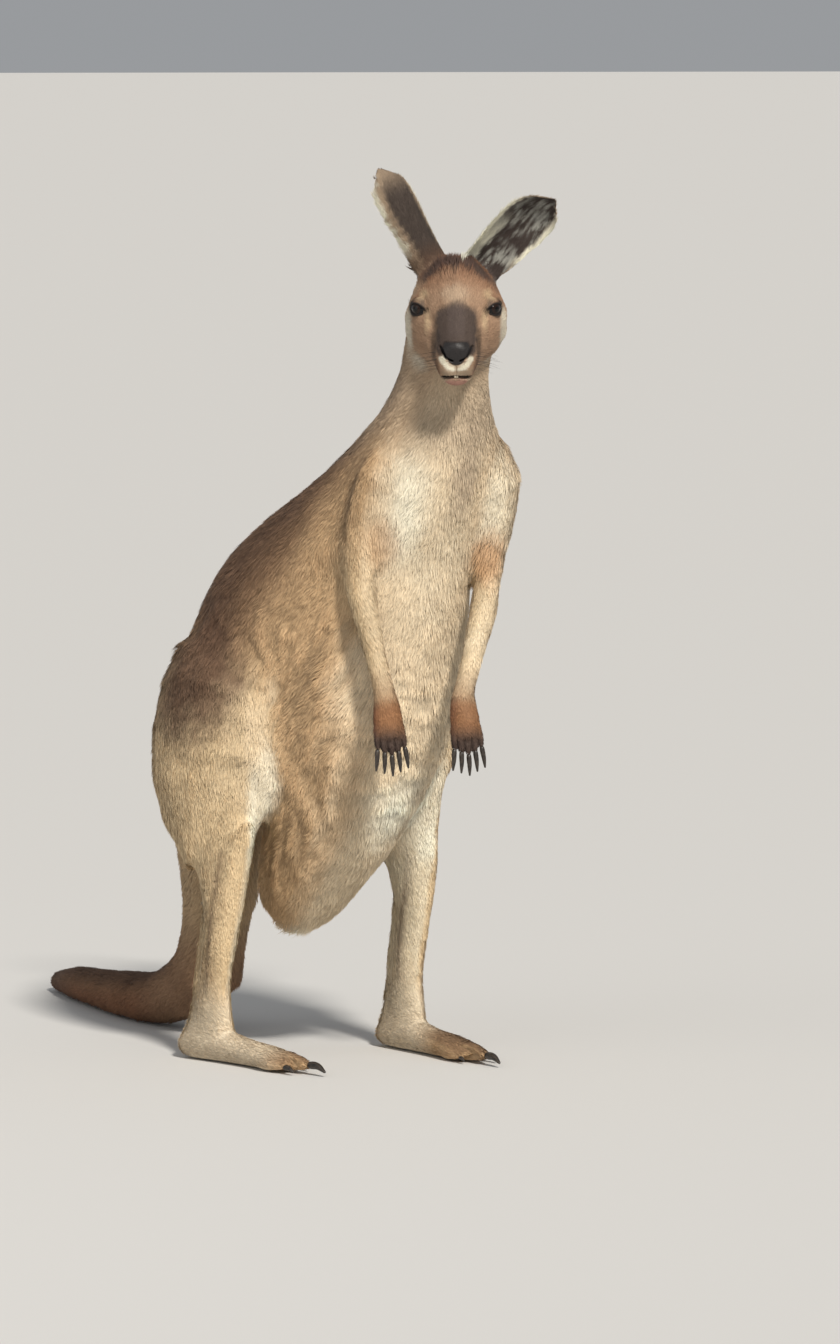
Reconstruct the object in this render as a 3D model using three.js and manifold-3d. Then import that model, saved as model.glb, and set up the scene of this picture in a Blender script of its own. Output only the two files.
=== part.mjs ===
// A western grey kangaroo standing at rest, life size, in millimetres with +Z up.
// Its hips and feet face -Y and +X is its left side; the chest and head turn to its right.
// The soles and the lying part of the tail stand on the floor plane z = 0.

import * as THREE from 'three';
import { mergeVertices } from 'three/addons/utils/BufferGeometryUtils.js';
import Module from 'manifold-3d';

const wasm = await Module();
wasm.setup();

// ---------------------------------------------------------------- driving dimensions

const GAP = 0.3; // clearance where two parts of the body meet
const CLAW_GAP = 1.2; // from a toe's or finger's flat end to its claw, which slopes away
const STANCE_HALF = 128; // from the middle plane to each shank
const LEFT_STEP = 66; // how far the left foot stands ahead of the right one
const RIGHT_ANKLE = -6; // the right ankle, ahead of the origin

const ANKLE = 62; // height of the cut between shank and foot
const FOOT = { length: 268, heelHalf: 21, ballHalf: 27, toeIn: 5 };
const SHANK = { top: 330, lean: 0.165, half: 21, depth: 24, tendonHalf: 11 };

const HEAD = { left: -24, forward: 362, up: 936, turn: 38, droop: 19, width: 128 };
const EYE = { radius: 12.5, ahead: 13, side: 41.5, up: 15 };
const EAR = { width: 78, round_from: 0.6, thick: 4.2, rows: 8, columns: 6 };
const JAW = { mouth: -43, corner: 42, gape: 1.6 };

const WITHERS = { right: [-30, 272, 806], left: [30, 304, 806] };
const SHOULDER = { right: [-66, 276, 752], left: [64, 322, 748] };
const ELBOW = { right: [-99, 250, 648], left: [80, 304, 622] };
const WRIST = { right: [-82, 298, 470], left: [-4, 350, 470] };
const PALM = { length: 46, half: 19, deep: 12, ahead: 8 };
const FINGER = { length: 20, radius: 5.8 };

const COAT = {
  tan: 0xb59a78,
  brown: 0x8a6d55,
  dark: 0x4a3b33,
  cream: 0xdccdb2,
  rust: 0x8e5b3c,
  claw: 0x1c1816,
  eye: 0x120d0b,
};

// ---------------------------------------------------------------- points and solids

// A place on the animal: how far to its left, ahead and up.
function place(left, forward, up) {
  return new THREE.Vector3(left, -forward, up);
}

// A cross-section of a limb: its centre, half width and half depth.
// shift makes the upper side (or, below zero, the under side) the broader one.
function knot(left, forward, up, wide, deep, shift = 0) {
  return { at: place(left, forward, up), wide, deep, shift };
}

// A closed body drawn along a smooth line through the knots.
// across is the direction of the width, twisted by twist degrees along the way; caps are the
// lengths of the round ends as parts of the end's depth, where 0 leaves a flat end; grow swells it.
function limb(knots, options = {}) {
  const { across = place(1, 0, 0), twist = 0, sides = 16, rings = 12 } = options;
  const { caps = [0.8, 0.8], grow = 0, from = 0, to = 1, capRings = 2 } = options;
  const line = new THREE.CatmullRomCurve3(knots.map((k) => k.at));
  const sizes = knots.map((k) => new THREE.Vector3(k.wide, k.deep, k.shift));
  const girth = new THREE.CatmullRomCurve3(sizes, false, 'catmullrom', 0.5);
  const positions = [];

  function frameAt(t) {
    const centre = line.getPoint(t);
    const ahead = line.getTangent(t);
    const turn = THREE.MathUtils.degToRad(twist * t);
    const side = across.clone().applyAxisAngle(new THREE.Vector3(0, 0, 1), turn);
    side.addScaledVector(ahead, -side.dot(ahead)).normalize();
    const up = new THREE.Vector3().crossVectors(ahead, side);
    return { centre, ahead, side, up, size: girth.getPoint(t) };
  }

  function ring(frame, scale, push) {
    for (let i = 0; i < sides; i += 1) {
      const angle = (2 * Math.PI * i) / sides;
      const c = Math.cos(angle);
      const s = Math.sin(angle);
      const wide = (frame.size.x * (1 + frame.size.z * s) + grow) * scale;
      const deep = (frame.size.y + grow) * scale;
      const point = frame.centre.clone().addScaledVector(frame.ahead, push);
      point.addScaledVector(frame.side, wide * c).addScaledVector(frame.up, deep * s);
      positions.push(point.x, point.y, point.z);
    }
  }

  const first = frameAt(from);
  const last = frameAt(to);
  const firstCap = caps[0] * first.size.y + (caps[0] ? grow : 0);
  const lastCap = caps[1] * last.size.y + (caps[1] ? grow : 0);
  let ringCount = 0;
  for (let i = 1; i <= capRings && caps[0]; i += 1) {
    const angle = (Math.PI / 2) * (1 - i / (capRings + 1));
    ring(first, Math.cos(angle), -firstCap * Math.sin(angle));
    ringCount += 1;
  }
  for (let i = 0; i <= rings; i += 1) {
    ring(frameAt(from + ((to - from) * i) / rings), 1, 0);
    ringCount += 1;
  }
  for (let i = 1; i <= capRings && caps[1]; i += 1) {
    const angle = (Math.PI / 2) * (i / (capRings + 1));
    ring(last, Math.cos(angle), lastCap * Math.sin(angle));
    ringCount += 1;
  }

  const start = first.centre.clone().addScaledVector(first.ahead, -firstCap);
  const end = last.centre.clone().addScaledVector(last.ahead, lastCap);
  positions.push(start.x, start.y, start.z, end.x, end.y, end.z);
  const startPole = ringCount * sides;
  const endPole = startPole + 1;
  const faces = [];
  for (let j = 0; j < sides; j += 1) {
    const next = (j + 1) % sides;
    for (let i = 0; i < ringCount - 1; i += 1) {
      const a = i * sides + j;
      const b = i * sides + next;
      faces.push(a, b, b + sides, a, b + sides, a + sides);
    }
    faces.push(startPole, next, j);
    faces.push(endPole, (ringCount - 1) * sides + j, (ringCount - 1) * sides + next);
  }
  return solid(positions, faces);
}

function solid(positions, faces) {
  const mesh = new wasm.Mesh({
    numProp: 3,
    vertProperties: new Float32Array(positions),
    triVerts: new Uint32Array(faces),
  });
  return new wasm.Manifold(mesh);
}

// One of the library's own shapes as a solid, in the place that the matrix gives.
function shaped(geometry, matrix) {
  const bare = geometry.clone();
  bare.deleteAttribute('normal');
  bare.deleteAttribute('uv');
  bare.applyMatrix4(matrix);
  const merged = mergeVertices(bare, 1e-4);
  return solid(merged.getAttribute('position').array, merged.index.array);
}

function join(first, ...others) {
  return others.reduce((whole, piece) => whole.add(piece), first);
}

function cut(whole, ...tools) {
  return tools.reduce((left, tool) => left.subtract(tool), whole);
}

// A block as wide as the whole animal, from one height up to another.
function layer(from, to) {
  const block = new THREE.BoxGeometry(3000, 3000, to - from);
  return shaped(block, new THREE.Matrix4().makeTranslation(0, 0, (from + to) / 2));
}

const underFloor = layer(-400, 0);
const underAnkle = layer(-400, ANKLE + GAP / 2);
const overAnkle = layer(ANKLE - GAP / 2, 1000);

const group = new THREE.Group();

function part(name, body, color, roughness = 0.9) {
  const { numProp, vertProperties, triVerts } = body.getMesh();
  const geometry = new THREE.BufferGeometry();
  const vertices = new Float32Array((vertProperties.length / numProp) * 3);
  for (let i = 0; i < vertices.length; i += 1) {
    vertices[i] = vertProperties[Math.floor(i / 3) * numProp + (i % 3)];
  }
  geometry.setAttribute('position', new THREE.BufferAttribute(vertices, 3));
  geometry.setIndex(new THREE.BufferAttribute(new Uint32Array(triVerts), 1));
  geometry.computeVertexNormals();
  const material = new THREE.MeshStandardMaterial({ color, roughness, metalness: 0 });
  const mesh = new THREE.Mesh(geometry, material);
  mesh.name = name;
  group.add(mesh);
}

const SIDES = [
  { name: 'left', sign: 1, step: RIGHT_ANKLE + LEFT_STEP },
  { name: 'right', sign: -1, step: RIGHT_ANKLE },
];

// ---------------------------------------------------------------- trunk and neck

const TORSO = [
  knot(0, -132, 412, 76, 68),
  knot(0, -78, 470, 104, 104),
  knot(0, -4, 520, 126, 136),
  knot(0, 82, 575, 124, 140, -0.05),
  knot(0, 166, 640, 108, 124, -0.06),
  knot(0, 238, 712, 94, 104, -0.05),
  knot(-2, 294, 786, 78, 82),
  knot(-6, 318, 850, 58, 64),
  knot(-14, 326, 912, 49, 54),
  knot(-22, 326, 966, 44, 46),
];
const NECK_FROM = 0.745; // where the neck is parted from the trunk, along the torso's line
const TORSO_RINGS = 12;
const NECK_RINGS = 4;

function torso(from, to, caps, rings, grow = 0) {
  return limb(TORSO, { twist: -26, sides: 20, rings, from, to, caps, grow });
}

// The full belly and the pouch, which sag from the chest to between the thighs.
function belly(grow = 0) {
  const knots = [
    knot(2, 230, 660, 88, 84),
    knot(4, 186, 545, 110, 104),
    knot(4, 148, 430, 112, 112),
    knot(2, 94, 326, 92, 100),
    knot(0, 30, 230, 64, 73),
  ];
  return limb(knots, { sides: 15, rings: 7, caps: [0.5, 1.15], grow });
}

// ---------------------------------------------------------------- hind legs

function thigh({ sign, step }, grow = 0) {
  const knots = [
    knot(sign * 60, -8, 556, 44, 74),
    knot(sign * 84, -14 + step * 0.5, 480, 64, 108),
    knot(sign * 101, -6 + step * 0.95, 404, 68, 118),
    knot(sign * 114, -6 + step * 1.2, 334, 56, 104),
    knot(sign * 123, 6 + step * 1.1, 266, 38, 56),
  ];
  return limb(knots, { sides: 15, rings: 7, caps: [0.6, 0.7], grow });
}

// The shin with its muscle, and the heel tendon behind it.
function shin({ sign, step }) {
  const x = sign * STANCE_HALF;
  const at = (up, ahead, wide, deep) => {
    const inward = (up / SHANK.top) * 6 * sign;
    return knot(x - inward, step + (up - 60) * SHANK.lean + ahead, up, wide, deep);
  };
  const bone = [
    at(SHANK.top, 6, 34, 46),
    at(250, 8, 28, 35),
    at(170, 9, SHANK.half, 27),
    at(100, 8, SHANK.half, SHANK.depth),
    at(48, 8, 22, 27),
  ];
  const tendon = [
    at(280, -20, 17, 20),
    at(190, -20, SHANK.tendonHalf, 14),
    at(110, -23, SHANK.tendonHalf, 13),
    at(40, -30, 15, 15),
  ];
  return join(
    limb(bone, { sides: 11, rings: 6, capRings: 1 }),
    limb(tendon, { sides: 7, rings: 4, capRings: 1 }),
  );
}

const TOES = [
  { name: 'fourth', side: 2, start: 0.6, reach: 0.9, half: 14, high: 14, claw: 30, clawHalf: 5.4 },
  { name: 'fifth', side: 22, start: 0.56, reach: 0.79, half: 9.5, high: 10, claw: 17, clawHalf: 3.6 },
  { name: 'second', side: -17, start: 0.54, reach: 0.75, half: 6.5, high: 8.5, claw: 11, clawHalf: 2.2 },
];

// A function that turns a place along the foot into a place on the animal.
function footFrame({ sign, step }) {
  const heading = THREE.MathUtils.degToRad(FOOT.toeIn * -sign);
  return (ahead, outward, up, wide, deep) => {
    const s = sign * outward;
    const left = sign * STANCE_HALF + s * Math.cos(heading) + ahead * Math.sin(heading);
    const forward = step + ahead * Math.cos(heading) - s * Math.sin(heading);
    return knot(left, forward, up, wide, deep);
  };
}

function sole(limbSide) {
  const at = footFrame(limbSide);
  const metatarsus = [
    at(-32, 0, 19, FOOT.heelHalf, 21),
    at(0, 0, 24, FOOT.heelHalf + 2, 28),
    at(50, 0, 18, 21, 20),
    at(105, 2, 15, 24, 17),
    at(132, 2, 13, FOOT.ballHalf, 15),
  ];
  const pieces = TOES.map((toe) => {
    const length = FOOT.length - 58;
    const knots = [
      at(length * toe.start, toe.side * 0.8, toe.high * 0.95, toe.half, toe.high),
      at(length * (toe.start + toe.reach) * 0.5, toe.side, toe.high, toe.half, toe.high),
      at(length * toe.reach, toe.side, toe.high * 0.85, toe.half * 0.65, toe.high * 0.65),
    ];
    return limb(knots, { sides: 7, rings: 2, caps: [0, 0] });
  });
  return join(limb(metatarsus, { sides: 9, rings: 5, capRings: 1 }), ...pieces);
}

function toeClaw(limbSide, toe) {
  const at = footFrame(limbSide);
  const root = (FOOT.length - 58) * toe.reach;
  const knots = [
    at(root + CLAW_GAP, toe.side, toe.high * 0.88, toe.clawHalf, toe.clawHalf * 1.1),
    at(root + toe.claw * 0.6, toe.side, toe.high * 0.95, toe.clawHalf * 0.9, toe.clawHalf * 0.95),
    at(root + toe.claw, toe.side, toe.high * 0.4 + 1, toe.clawHalf * 0.3, toe.clawHalf * 0.3),
  ];
  return limb(knots, { sides: 5, rings: 2, caps: [0, 0.6], capRings: 1 });
}

// ---------------------------------------------------------------- tail

const TAIL = [
  knot(0, -104, 426, 80, 70),
  knot(0, -160, 352, 78, 62),
  knot(0, -153, 266, 61, 56),
  knot(8, -162, 178, 51, 50),
  knot(14, -186, 98, 50, 47),
  knot(22, -290, 41, 38, 37),
  knot(36, -396, 31, 32, 32),
  knot(62, -496, 26, 27, 27),
  knot(92, -592, 22, 23, 23),
  knot(124, -680, 13.5, 15, 15),
];
const TAIL_CUTS = [0, 0.4, 0.72, 1];
const TAIL_NAMES = ['tail_base', 'tail_middle', 'tail_tip'];

function tailLength(index, grow = 0) {
  const caps = [index ? 0 : 0.4, index === 2 ? 1.2 : 0];
  const from = TAIL_CUTS[index] + (index ? 0.0004 : 0);
  return limb(TAIL, { sides: 13, rings: 6, from, to: TAIL_CUTS[index + 1], caps, grow });
}

// ---------------------------------------------------------------- arms

function armKnots(name) {
  const withers = place(...WITHERS[name]);
  const shoulder = place(...SHOULDER[name]);
  const elbow = place(...ELBOW[name]);
  const wrist = place(...WRIST[name]);
  const hand = wrist.clone().add(place(0, PALM.ahead, -PALM.length));
  const between = (a, b, t, wide, deep) => ({ at: a.clone().lerp(b, t), wide, deep, shift: 0 });
  return [
    between(withers, shoulder, 0, 32, 40),
    between(withers, shoulder, 1, 35, 44),
    between(shoulder, elbow, 0.5, 29, 34),
    between(shoulder, elbow, 0.88, 23, 27),
    between(elbow, wrist, 0.14, 21, 25),
    between(elbow, wrist, 0.42, 17.5, 19),
    between(elbow, wrist, 0.74, 14, 14.5),
    between(elbow, wrist, 0.98, 15, 14),
    between(wrist, hand, 0.5, PALM.half, PALM.deep),
    between(wrist, hand, 1, PALM.half * 0.92, PALM.deep * 0.85),
  ];
}

const ARM_TURN = THREE.MathUtils.degToRad(-26);
const ARM_CUTS = { upper_arm: [0, 0.39], forearm: [0.3905, 0.775], palm: [0.7758, 1] };

function armLength(name, piece, grow = 0) {
  const [from, to] = ARM_CUTS[piece];
  const across = place(1, 0, 0).applyAxisAngle(new THREE.Vector3(0, 0, 1), ARM_TURN);
  const caps = [piece === 'upper_arm' ? 0.3 : 0, piece === 'palm' ? 0.5 : 0];
  const rings = piece === 'palm' ? 4 : 6;
  return limb(armKnots(name), { across, sides: 11, rings, from, to, caps, grow, capRings: 1 });
}

const FINGERS = [-1, -0.5, 0, 0.5, 1];

// The root, knuckle and claw places of one finger; spread runs from -1 to 1 across the palm.
function fingerLine(name, spread) {
  const knots = armKnots(name);
  const end = knots[knots.length - 1].at.clone();
  const ahead = end.clone().sub(knots[knots.length - 2].at).normalize();
  const side = place(1, 0, 0).applyAxisAngle(new THREE.Vector3(0, 0, 1), ARM_TURN);
  side.addScaledVector(ahead, -side.dot(ahead)).normalize();
  const out = new THREE.Vector3().crossVectors(ahead, side);
  const back = Math.abs(spread) * 8;
  const along = (distance, lift) => end
    .clone()
    .addScaledVector(ahead, distance - back)
    .addScaledVector(side, spread * (PALM.half - 4.5 + Math.max(distance, 0) * 0.12))
    .addScaledVector(out, lift);
  return along;
}

function finger(name, spread) {
  const along = fingerLine(name, spread);
  const r = FINGER.radius;
  const knots = [
    { at: along(-6, 0), wide: r, deep: r, shift: 0 },
    { at: along(FINGER.length * 0.5, 2), wide: r, deep: r, shift: 0 },
    { at: along(FINGER.length, 1), wide: r * 0.75, deep: r * 0.8, shift: 0 },
  ];
  return limb(knots, { sides: 5, rings: 2, caps: [0, 0] });
}

function fingerClaw(name, spread) {
  const along = fingerLine(name, spread);
  const knots = [
    { at: along(FINGER.length + CLAW_GAP, 1), wide: 3.3, deep: 3.8, shift: 0 },
    { at: along(FINGER.length + 14, 0.6), wide: 2.9, deep: 3.2, shift: 0 },
    { at: along(FINGER.length + 26, -5), wide: 0.9, deep: 1, shift: 0 },
  ];
  return limb(knots, { sides: 5, rings: 2, caps: [0, 0.8], capRings: 1 });
}

// ---------------------------------------------------------------- head

const headTurn = THREE.MathUtils.degToRad(-HEAD.turn);
const headDroop = THREE.MathUtils.degToRad(HEAD.droop);
// Takes (left, ahead, up) in the head's own directions to a place on the animal.
function onHead(left, ahead, up) {
  const f = ahead * Math.cos(headDroop) + up * Math.sin(headDroop);
  const u = up * Math.cos(headDroop) - ahead * Math.sin(headDroop);
  const x = left * Math.cos(headTurn) + f * Math.sin(headTurn);
  const forward = f * Math.cos(headTurn) - left * Math.sin(headTurn);
  return place(HEAD.left + x, HEAD.forward + forward, HEAD.up + u);
}

function headKnot(ahead, up, wide, deep, shift = 0) {
  return { at: onHead(0, ahead, up), wide, deep, shift };
}

const headAcross = onHead(1, 0, 0).sub(onHead(0, 0, 0));

function skull(grow = 0) {
  const half = HEAD.width / 2;
  const knots = [
    headKnot(-70, 10, half * 0.64, 42, -0.1),
    headKnot(-44, 6, half * 0.9, 60, -0.24),
    headKnot(-16, 0, half, 61, -0.3),
    headKnot(12, -6, half * 0.95, 54, -0.32),
    headKnot(38, -12, half * 0.72, 44, -0.26),
    headKnot(62, -18, half * 0.5, 38, -0.06),
    headKnot(84, -23, half * 0.4, 34, -0.02),
    headKnot(96, -25, half * 0.36, 30, 0),
  ];
  return limb(knots, { across: headAcross, sides: 16, rings: 12, caps: [0.6, 0.3], grow });
}

// The room of the lower jaw: all that lies below the mouth line and ahead of the mouth's corner.
function jawRoom(grow = 0) {
  const room = new THREE.BoxGeometry(160, 140, 80);
  const middle = onHead(0, JAW.corner - grow + 70, JAW.mouth + grow - 40);
  const along = onHead(0, 1, 0).sub(onHead(0, 0, 0));
  const upward = onHead(0, 0, 1).sub(onHead(0, 0, 0));
  const axes = new THREE.Matrix4().makeBasis(headAcross, along.negate(), upward);
  return shaped(room, axes.setPosition(middle));
}

function eyeball(sign, grow = 0) {
  const at = onHead(sign * EYE.side, EYE.ahead, EYE.up);
  const ball = new THREE.SphereGeometry(EYE.radius + grow, 10, 7);
  return shaped(ball, new THREE.Matrix4().makeTranslation(at.x, at.y, at.z));
}

// An ear is a leaf-shaped cup: root and tip give its line, and open the way its hollow faces.
const EARS = {
  right: { root: [-17, -44, 30], tip: [-97, -58, 170], open: [-0.62, -0.8, 0], curl: 1 },
  left: { root: [14, -42, 39], tip: [122, -21, 141], open: [0.2, 1, 0], curl: 0.7 },
};
// How wide each ear is at its base and across its blade, as shares of the usual width.
const EAR_SHARES = {
  right: { base: 1.26, blade: 0.84 },
  left: { base: 1, blade: 1.04 },
};

function ear(name, grow = 0) {
  const { root, tip, open, curl } = EARS[name];
  const { base, blade } = EAR_SHARES[name];
  const start = onHead(...root);
  const axis = onHead(...tip).sub(start);
  const length = axis.length();
  axis.normalize();
  const hollow = onHead(...open).sub(onHead(0, 0, 0));
  hollow.addScaledVector(axis, -hollow.dot(axis)).normalize();
  const side = new THREE.Vector3().crossVectors(axis, hollow);
  const { rows, columns } = EAR;
  const thick = EAR.thick + 2 * grow;
  const positions = [];
  const sheet = (offset) => {
    for (let i = 0; i <= rows; i += 1) {
      const t = i / rows;
      const swell = Math.pow(Math.sin(Math.PI * Math.pow(t, 0.8) * 0.93), 0.75);
      const half = (EAR.width / 2) * (base + (blade - base) * swell);
      const past = Math.max(0, t - EAR.round_from) / (1 - EAR.round_from);
      const taper = Math.sqrt(Math.max(0.03, 1 - Math.pow(past, 2.4)));
      const bend = curl + (1.9 - curl) * Math.pow(1 - t, 2);
      const radius = (half * taper + grow) / Math.min(bend, 1.6);
      const lean = 9 * Math.sin(Math.PI * t);
      for (let j = 0; j <= columns; j += 1) {
        const angle = bend * ((2 * j) / columns - 1);
        const edge = 1 - Math.pow(Math.abs((2 * j) / columns - 1), 3) * 0.5;
        const r = radius + offset * thick * 0.5 * edge;
        const along = length * t * (1 - 0.05 * Math.pow(angle / bend, 2));
        const point = start.clone().addScaledVector(axis, along);
        point.addScaledVector(side, r * Math.sin(angle));
        point.addScaledVector(hollow, radius * 0.6 - r * Math.cos(angle) - lean * 0.4);
        positions.push(point.x, point.y, point.z);
      }
    }
  };
  sheet(1);
  sheet(-1);
  const faces = [];
  const width = columns + 1;
  const inner = (rows + 1) * width;
  const quad = (a, b, c, d) => faces.push(a, c, b, a, d, c);
  for (let i = 0; i < rows; i += 1) {
    for (let j = 0; j < columns; j += 1) {
      const a = i * width + j;
      quad(a, a + 1, a + 1 + width, a + width);
      quad(inner + a, inner + a + width, inner + a + 1 + width, inner + a + 1);
    }
    const low = i * width;
    const high = low + columns;
    quad(low, low + width, inner + low + width, inner + low);
    quad(high, inner + high, inner + high + width, high + width);
  }
  for (let j = 0; j < columns; j += 1) {
    const top = rows * width + j;
    quad(j, inner + j, inner + j + 1, j + 1);
    quad(top, top + 1, inner + top + 1, inner + top);
  }
  return solid(positions, faces);
}

// ---------------------------------------------------------------- the animal

const thighTools = SIDES.map((side) => thigh(side, GAP));
const trunkTools = [torso(0, NECK_FROM, [0.9, 0], TORSO_RINGS, GAP), belly(GAP)];
const neckTool = torso(NECK_FROM, 1, [0, 0.5], NECK_RINGS, GAP);

const trunk = join(torso(0, NECK_FROM, [0.9, 0], TORSO_RINGS), belly());
part('trunk', cut(trunk, ...thighTools), COAT.tan);
part('neck', cut(torso(NECK_FROM + 0.0006, 1, [0, 0.5], NECK_RINGS), skull(GAP)), COAT.tan);

SIDES.forEach((side) => {
  const { name } = side;
  part(`${name}_thigh`, thigh(side), COAT.tan);
  const lowerLeg = cut(join(shin(side), sole(side)), underFloor);
  part(`${name}_shank`, cut(lowerLeg, underAnkle, thigh(side, GAP)), COAT.cream);
  part(`${name}_foot`, cut(lowerLeg, overAnkle), COAT.cream);
  TOES.forEach((toe) => part(`${name}_${toe.name}_toe_claw`, toeClaw(side, toe), COAT.claw, 0.4));
});

TAIL_NAMES.forEach((name, index) => {
  const length = cut(tailLength(index), underFloor);
  const clear = index ? [] : [...trunkTools, ...thighTools];
  part(name, cut(length, ...clear), index < 2 ? COAT.brown : COAT.dark);
});

SIDES.forEach(({ name }) => {
  part(`${name}_upper_arm`, cut(armLength(name, 'upper_arm'), ...trunkTools, neckTool), COAT.tan);
  part(`${name}_forearm`, cut(armLength(name, 'forearm'), ...trunkTools), COAT.tan);
  const fingers = FINGERS.map((spread) => finger(name, spread));
  part(`${name}_hand`, join(armLength(name, 'palm'), ...fingers), COAT.rust);
  FINGERS.forEach((spread, i) => {
    part(`${name}_finger_claw_${i + 1}`, fingerClaw(name, spread), COAT.claw, 0.4);
  });
});

const eyeTools = [eyeball(1, GAP), eyeball(-1, GAP)];
part('head', cut(skull(), jawRoom(JAW.gape), ...eyeTools), COAT.tan);
part('lower_jaw', skull().intersect(jawRoom()), COAT.dark);
SIDES.forEach(({ name, sign }) => {
  part(`${name}_ear`, cut(ear(name), skull(GAP), neckTool), COAT.brown);
  part(`${name}_eye`, eyeball(sign), COAT.eye, 0.1);
});

// The origin is the middle of the whole animal's footprint, on the floor.
const bounds = new THREE.Box3().setFromObject(group);
const middle = bounds.getCenter(new THREE.Vector3());
group.position.set(-middle.x, -middle.y, -bounds.min.z);

export default group;
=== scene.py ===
# %% [markdown]
# # A western grey kangaroo, standing
#
# The imported solids say how big the animal is and where each part lies. This script gives it its looks.
# A fine skin goes over the flesh, with the folds of the face and the cups of the ears. On it grows a coat
# of small flat locks. The eyes, claws and whiskers are pieces of their own.
# The frame is loaded first, and its box is kept.

# %% Load the frame
import math

import bpy
import numpy as np
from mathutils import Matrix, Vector
from mathutils.bvhtree import BVHTree


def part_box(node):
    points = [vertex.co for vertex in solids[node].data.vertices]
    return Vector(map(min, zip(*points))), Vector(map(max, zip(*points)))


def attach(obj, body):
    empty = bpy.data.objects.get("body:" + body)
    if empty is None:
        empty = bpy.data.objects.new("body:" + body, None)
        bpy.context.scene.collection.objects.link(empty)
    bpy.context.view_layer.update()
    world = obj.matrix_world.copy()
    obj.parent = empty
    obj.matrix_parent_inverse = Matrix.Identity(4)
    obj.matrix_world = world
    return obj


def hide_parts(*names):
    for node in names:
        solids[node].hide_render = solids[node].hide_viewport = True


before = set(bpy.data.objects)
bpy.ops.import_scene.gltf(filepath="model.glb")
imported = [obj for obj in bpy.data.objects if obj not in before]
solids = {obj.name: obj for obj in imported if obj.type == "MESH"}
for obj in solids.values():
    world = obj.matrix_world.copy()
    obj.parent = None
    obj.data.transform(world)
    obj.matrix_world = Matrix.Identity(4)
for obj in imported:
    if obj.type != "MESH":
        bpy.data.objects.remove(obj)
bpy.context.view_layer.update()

MM = 0.001
scene = bpy.context.scene

# %% [markdown]
# ## Which solids are flesh
#
# On a real kangaroo one skin runs over everything but the eyes and the claws. So the solids are sorted by
# name. What has "claw" in its name is horn, what ends in "eye" is an eyeball, and the rest is flesh.

# %% Sort the solids
SIDES = {"left": 1, "right": -1}  # each with the way it lies along X, and along the head's first axis
claw_nodes = sorted(name for name in solids if "claw" in name)
eye_nodes = [side + "_eye" for side in SIDES]
flesh_nodes = sorted(set(solids) - set(claw_nodes) - set(eye_nodes))
print(len(flesh_nodes), "flesh solids,", len(claw_nodes), "claws")


def claws_of(side, kind):
    """The claws of one hand or foot."""
    return [node for node in claw_nodes if node.startswith(side) and kind in node]


# %% [markdown]
# ## A frame for the head
#
# The head is turned to one side and droops a little, so its features are easier to place in its own
# directions: to its left, ahead along the nose, and up. The line between the eyes gives the first one.

# %% Measure the head
HEAD_DROOP = math.radians(19)
EYE_AHEAD = 13 * MM
EYE_UP = 15 * MM
EYE_RADIUS = 12.5 * MM


def middle(node):
    """The middle of a solid's box."""
    low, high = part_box(node)
    return np.array((low + high) / 2)


UP = np.array([0.0, 0.0, 1.0])
eye_line = middle("left_eye") - middle("right_eye")
EYE_SPAN = float(np.linalg.norm(eye_line))
head_left = eye_line / EYE_SPAN
head_level = np.cross(head_left, UP)
head_ahead = math.cos(HEAD_DROOP) * head_level - math.sin(HEAD_DROOP) * UP
head_up = math.cos(HEAD_DROOP) * UP + math.sin(HEAD_DROOP) * head_level
head_axes = np.array([head_left, head_ahead, head_up])
head_centre = (middle("left_eye") + middle("right_eye")) / 2 - EYE_AHEAD * head_ahead - EYE_UP * head_up
print("eyes", round(EYE_SPAN, 4), "apart, the head looks along", head_ahead.round(3))


def in_head(points):
    """Points in the head's own directions: to its left, ahead and up."""
    return (points - head_centre) @ head_axes.T


def from_head(left, ahead, up):
    """A place on the animal, from one in the head's directions."""
    return head_centre + left * head_left + ahead * head_ahead + up * head_up


# %% [markdown]
# ## One skin over all the flesh
#
# The flesh solids touch with a hair's gap between them. A copy of each is swollen until the copies
# overlap, and a voxel remesh melts them into one closed surface with no seam. A boolean union would join
# them too, but it would keep every facet. The eyeballs are melted in as well, as if under closed lids,
# and the lids are opened later. The voxels are small enough for the fingers and the ears.
#
# A few helpers come first, for what every piece needs: to be selected alone, to have its modifiers
# applied, to be joined with others, and to have its values read as rows of numbers.

# %% Helpers for selecting, joining and reading
def only(piece):
    """Selects one object alone and makes it the active one."""
    bpy.ops.object.select_all(action="DESELECT")
    piece.select_set(True)
    bpy.context.view_layer.objects.active = piece


def apply_modifiers(piece):
    only(piece)
    for modifier in list(piece.modifiers):
        bpy.ops.object.modifier_apply(modifier=modifier.name)


def triangles(piece):
    piece.data.calc_loop_triangles()
    return len(piece.data.loop_triangles)


def joined(pieces, name):
    """Joins these objects into one, and names it."""
    only(pieces[0])
    for piece in pieces:
        piece.select_set(True)
    bpy.ops.object.join()
    whole = bpy.context.view_layer.objects.active
    whole.name = name
    return whole


def added(add, name, **settings):
    """Adds a basic shape with nothing else selected, and names it."""
    bpy.ops.object.select_all(action="DESELECT")
    add(**settings)
    piece = bpy.context.view_layer.objects.active
    piece.name = name
    return piece


def read_values(items, name, width=3, kind=float):
    """One property of all the points, edges or faces of a mesh, as rows."""
    flat = np.empty(len(items) * width, kind)
    items.foreach_get(name, flat)
    return flat.reshape(-1, width)


def coordinates(piece):
    return read_values(piece.data.vertices, "co")


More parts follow.
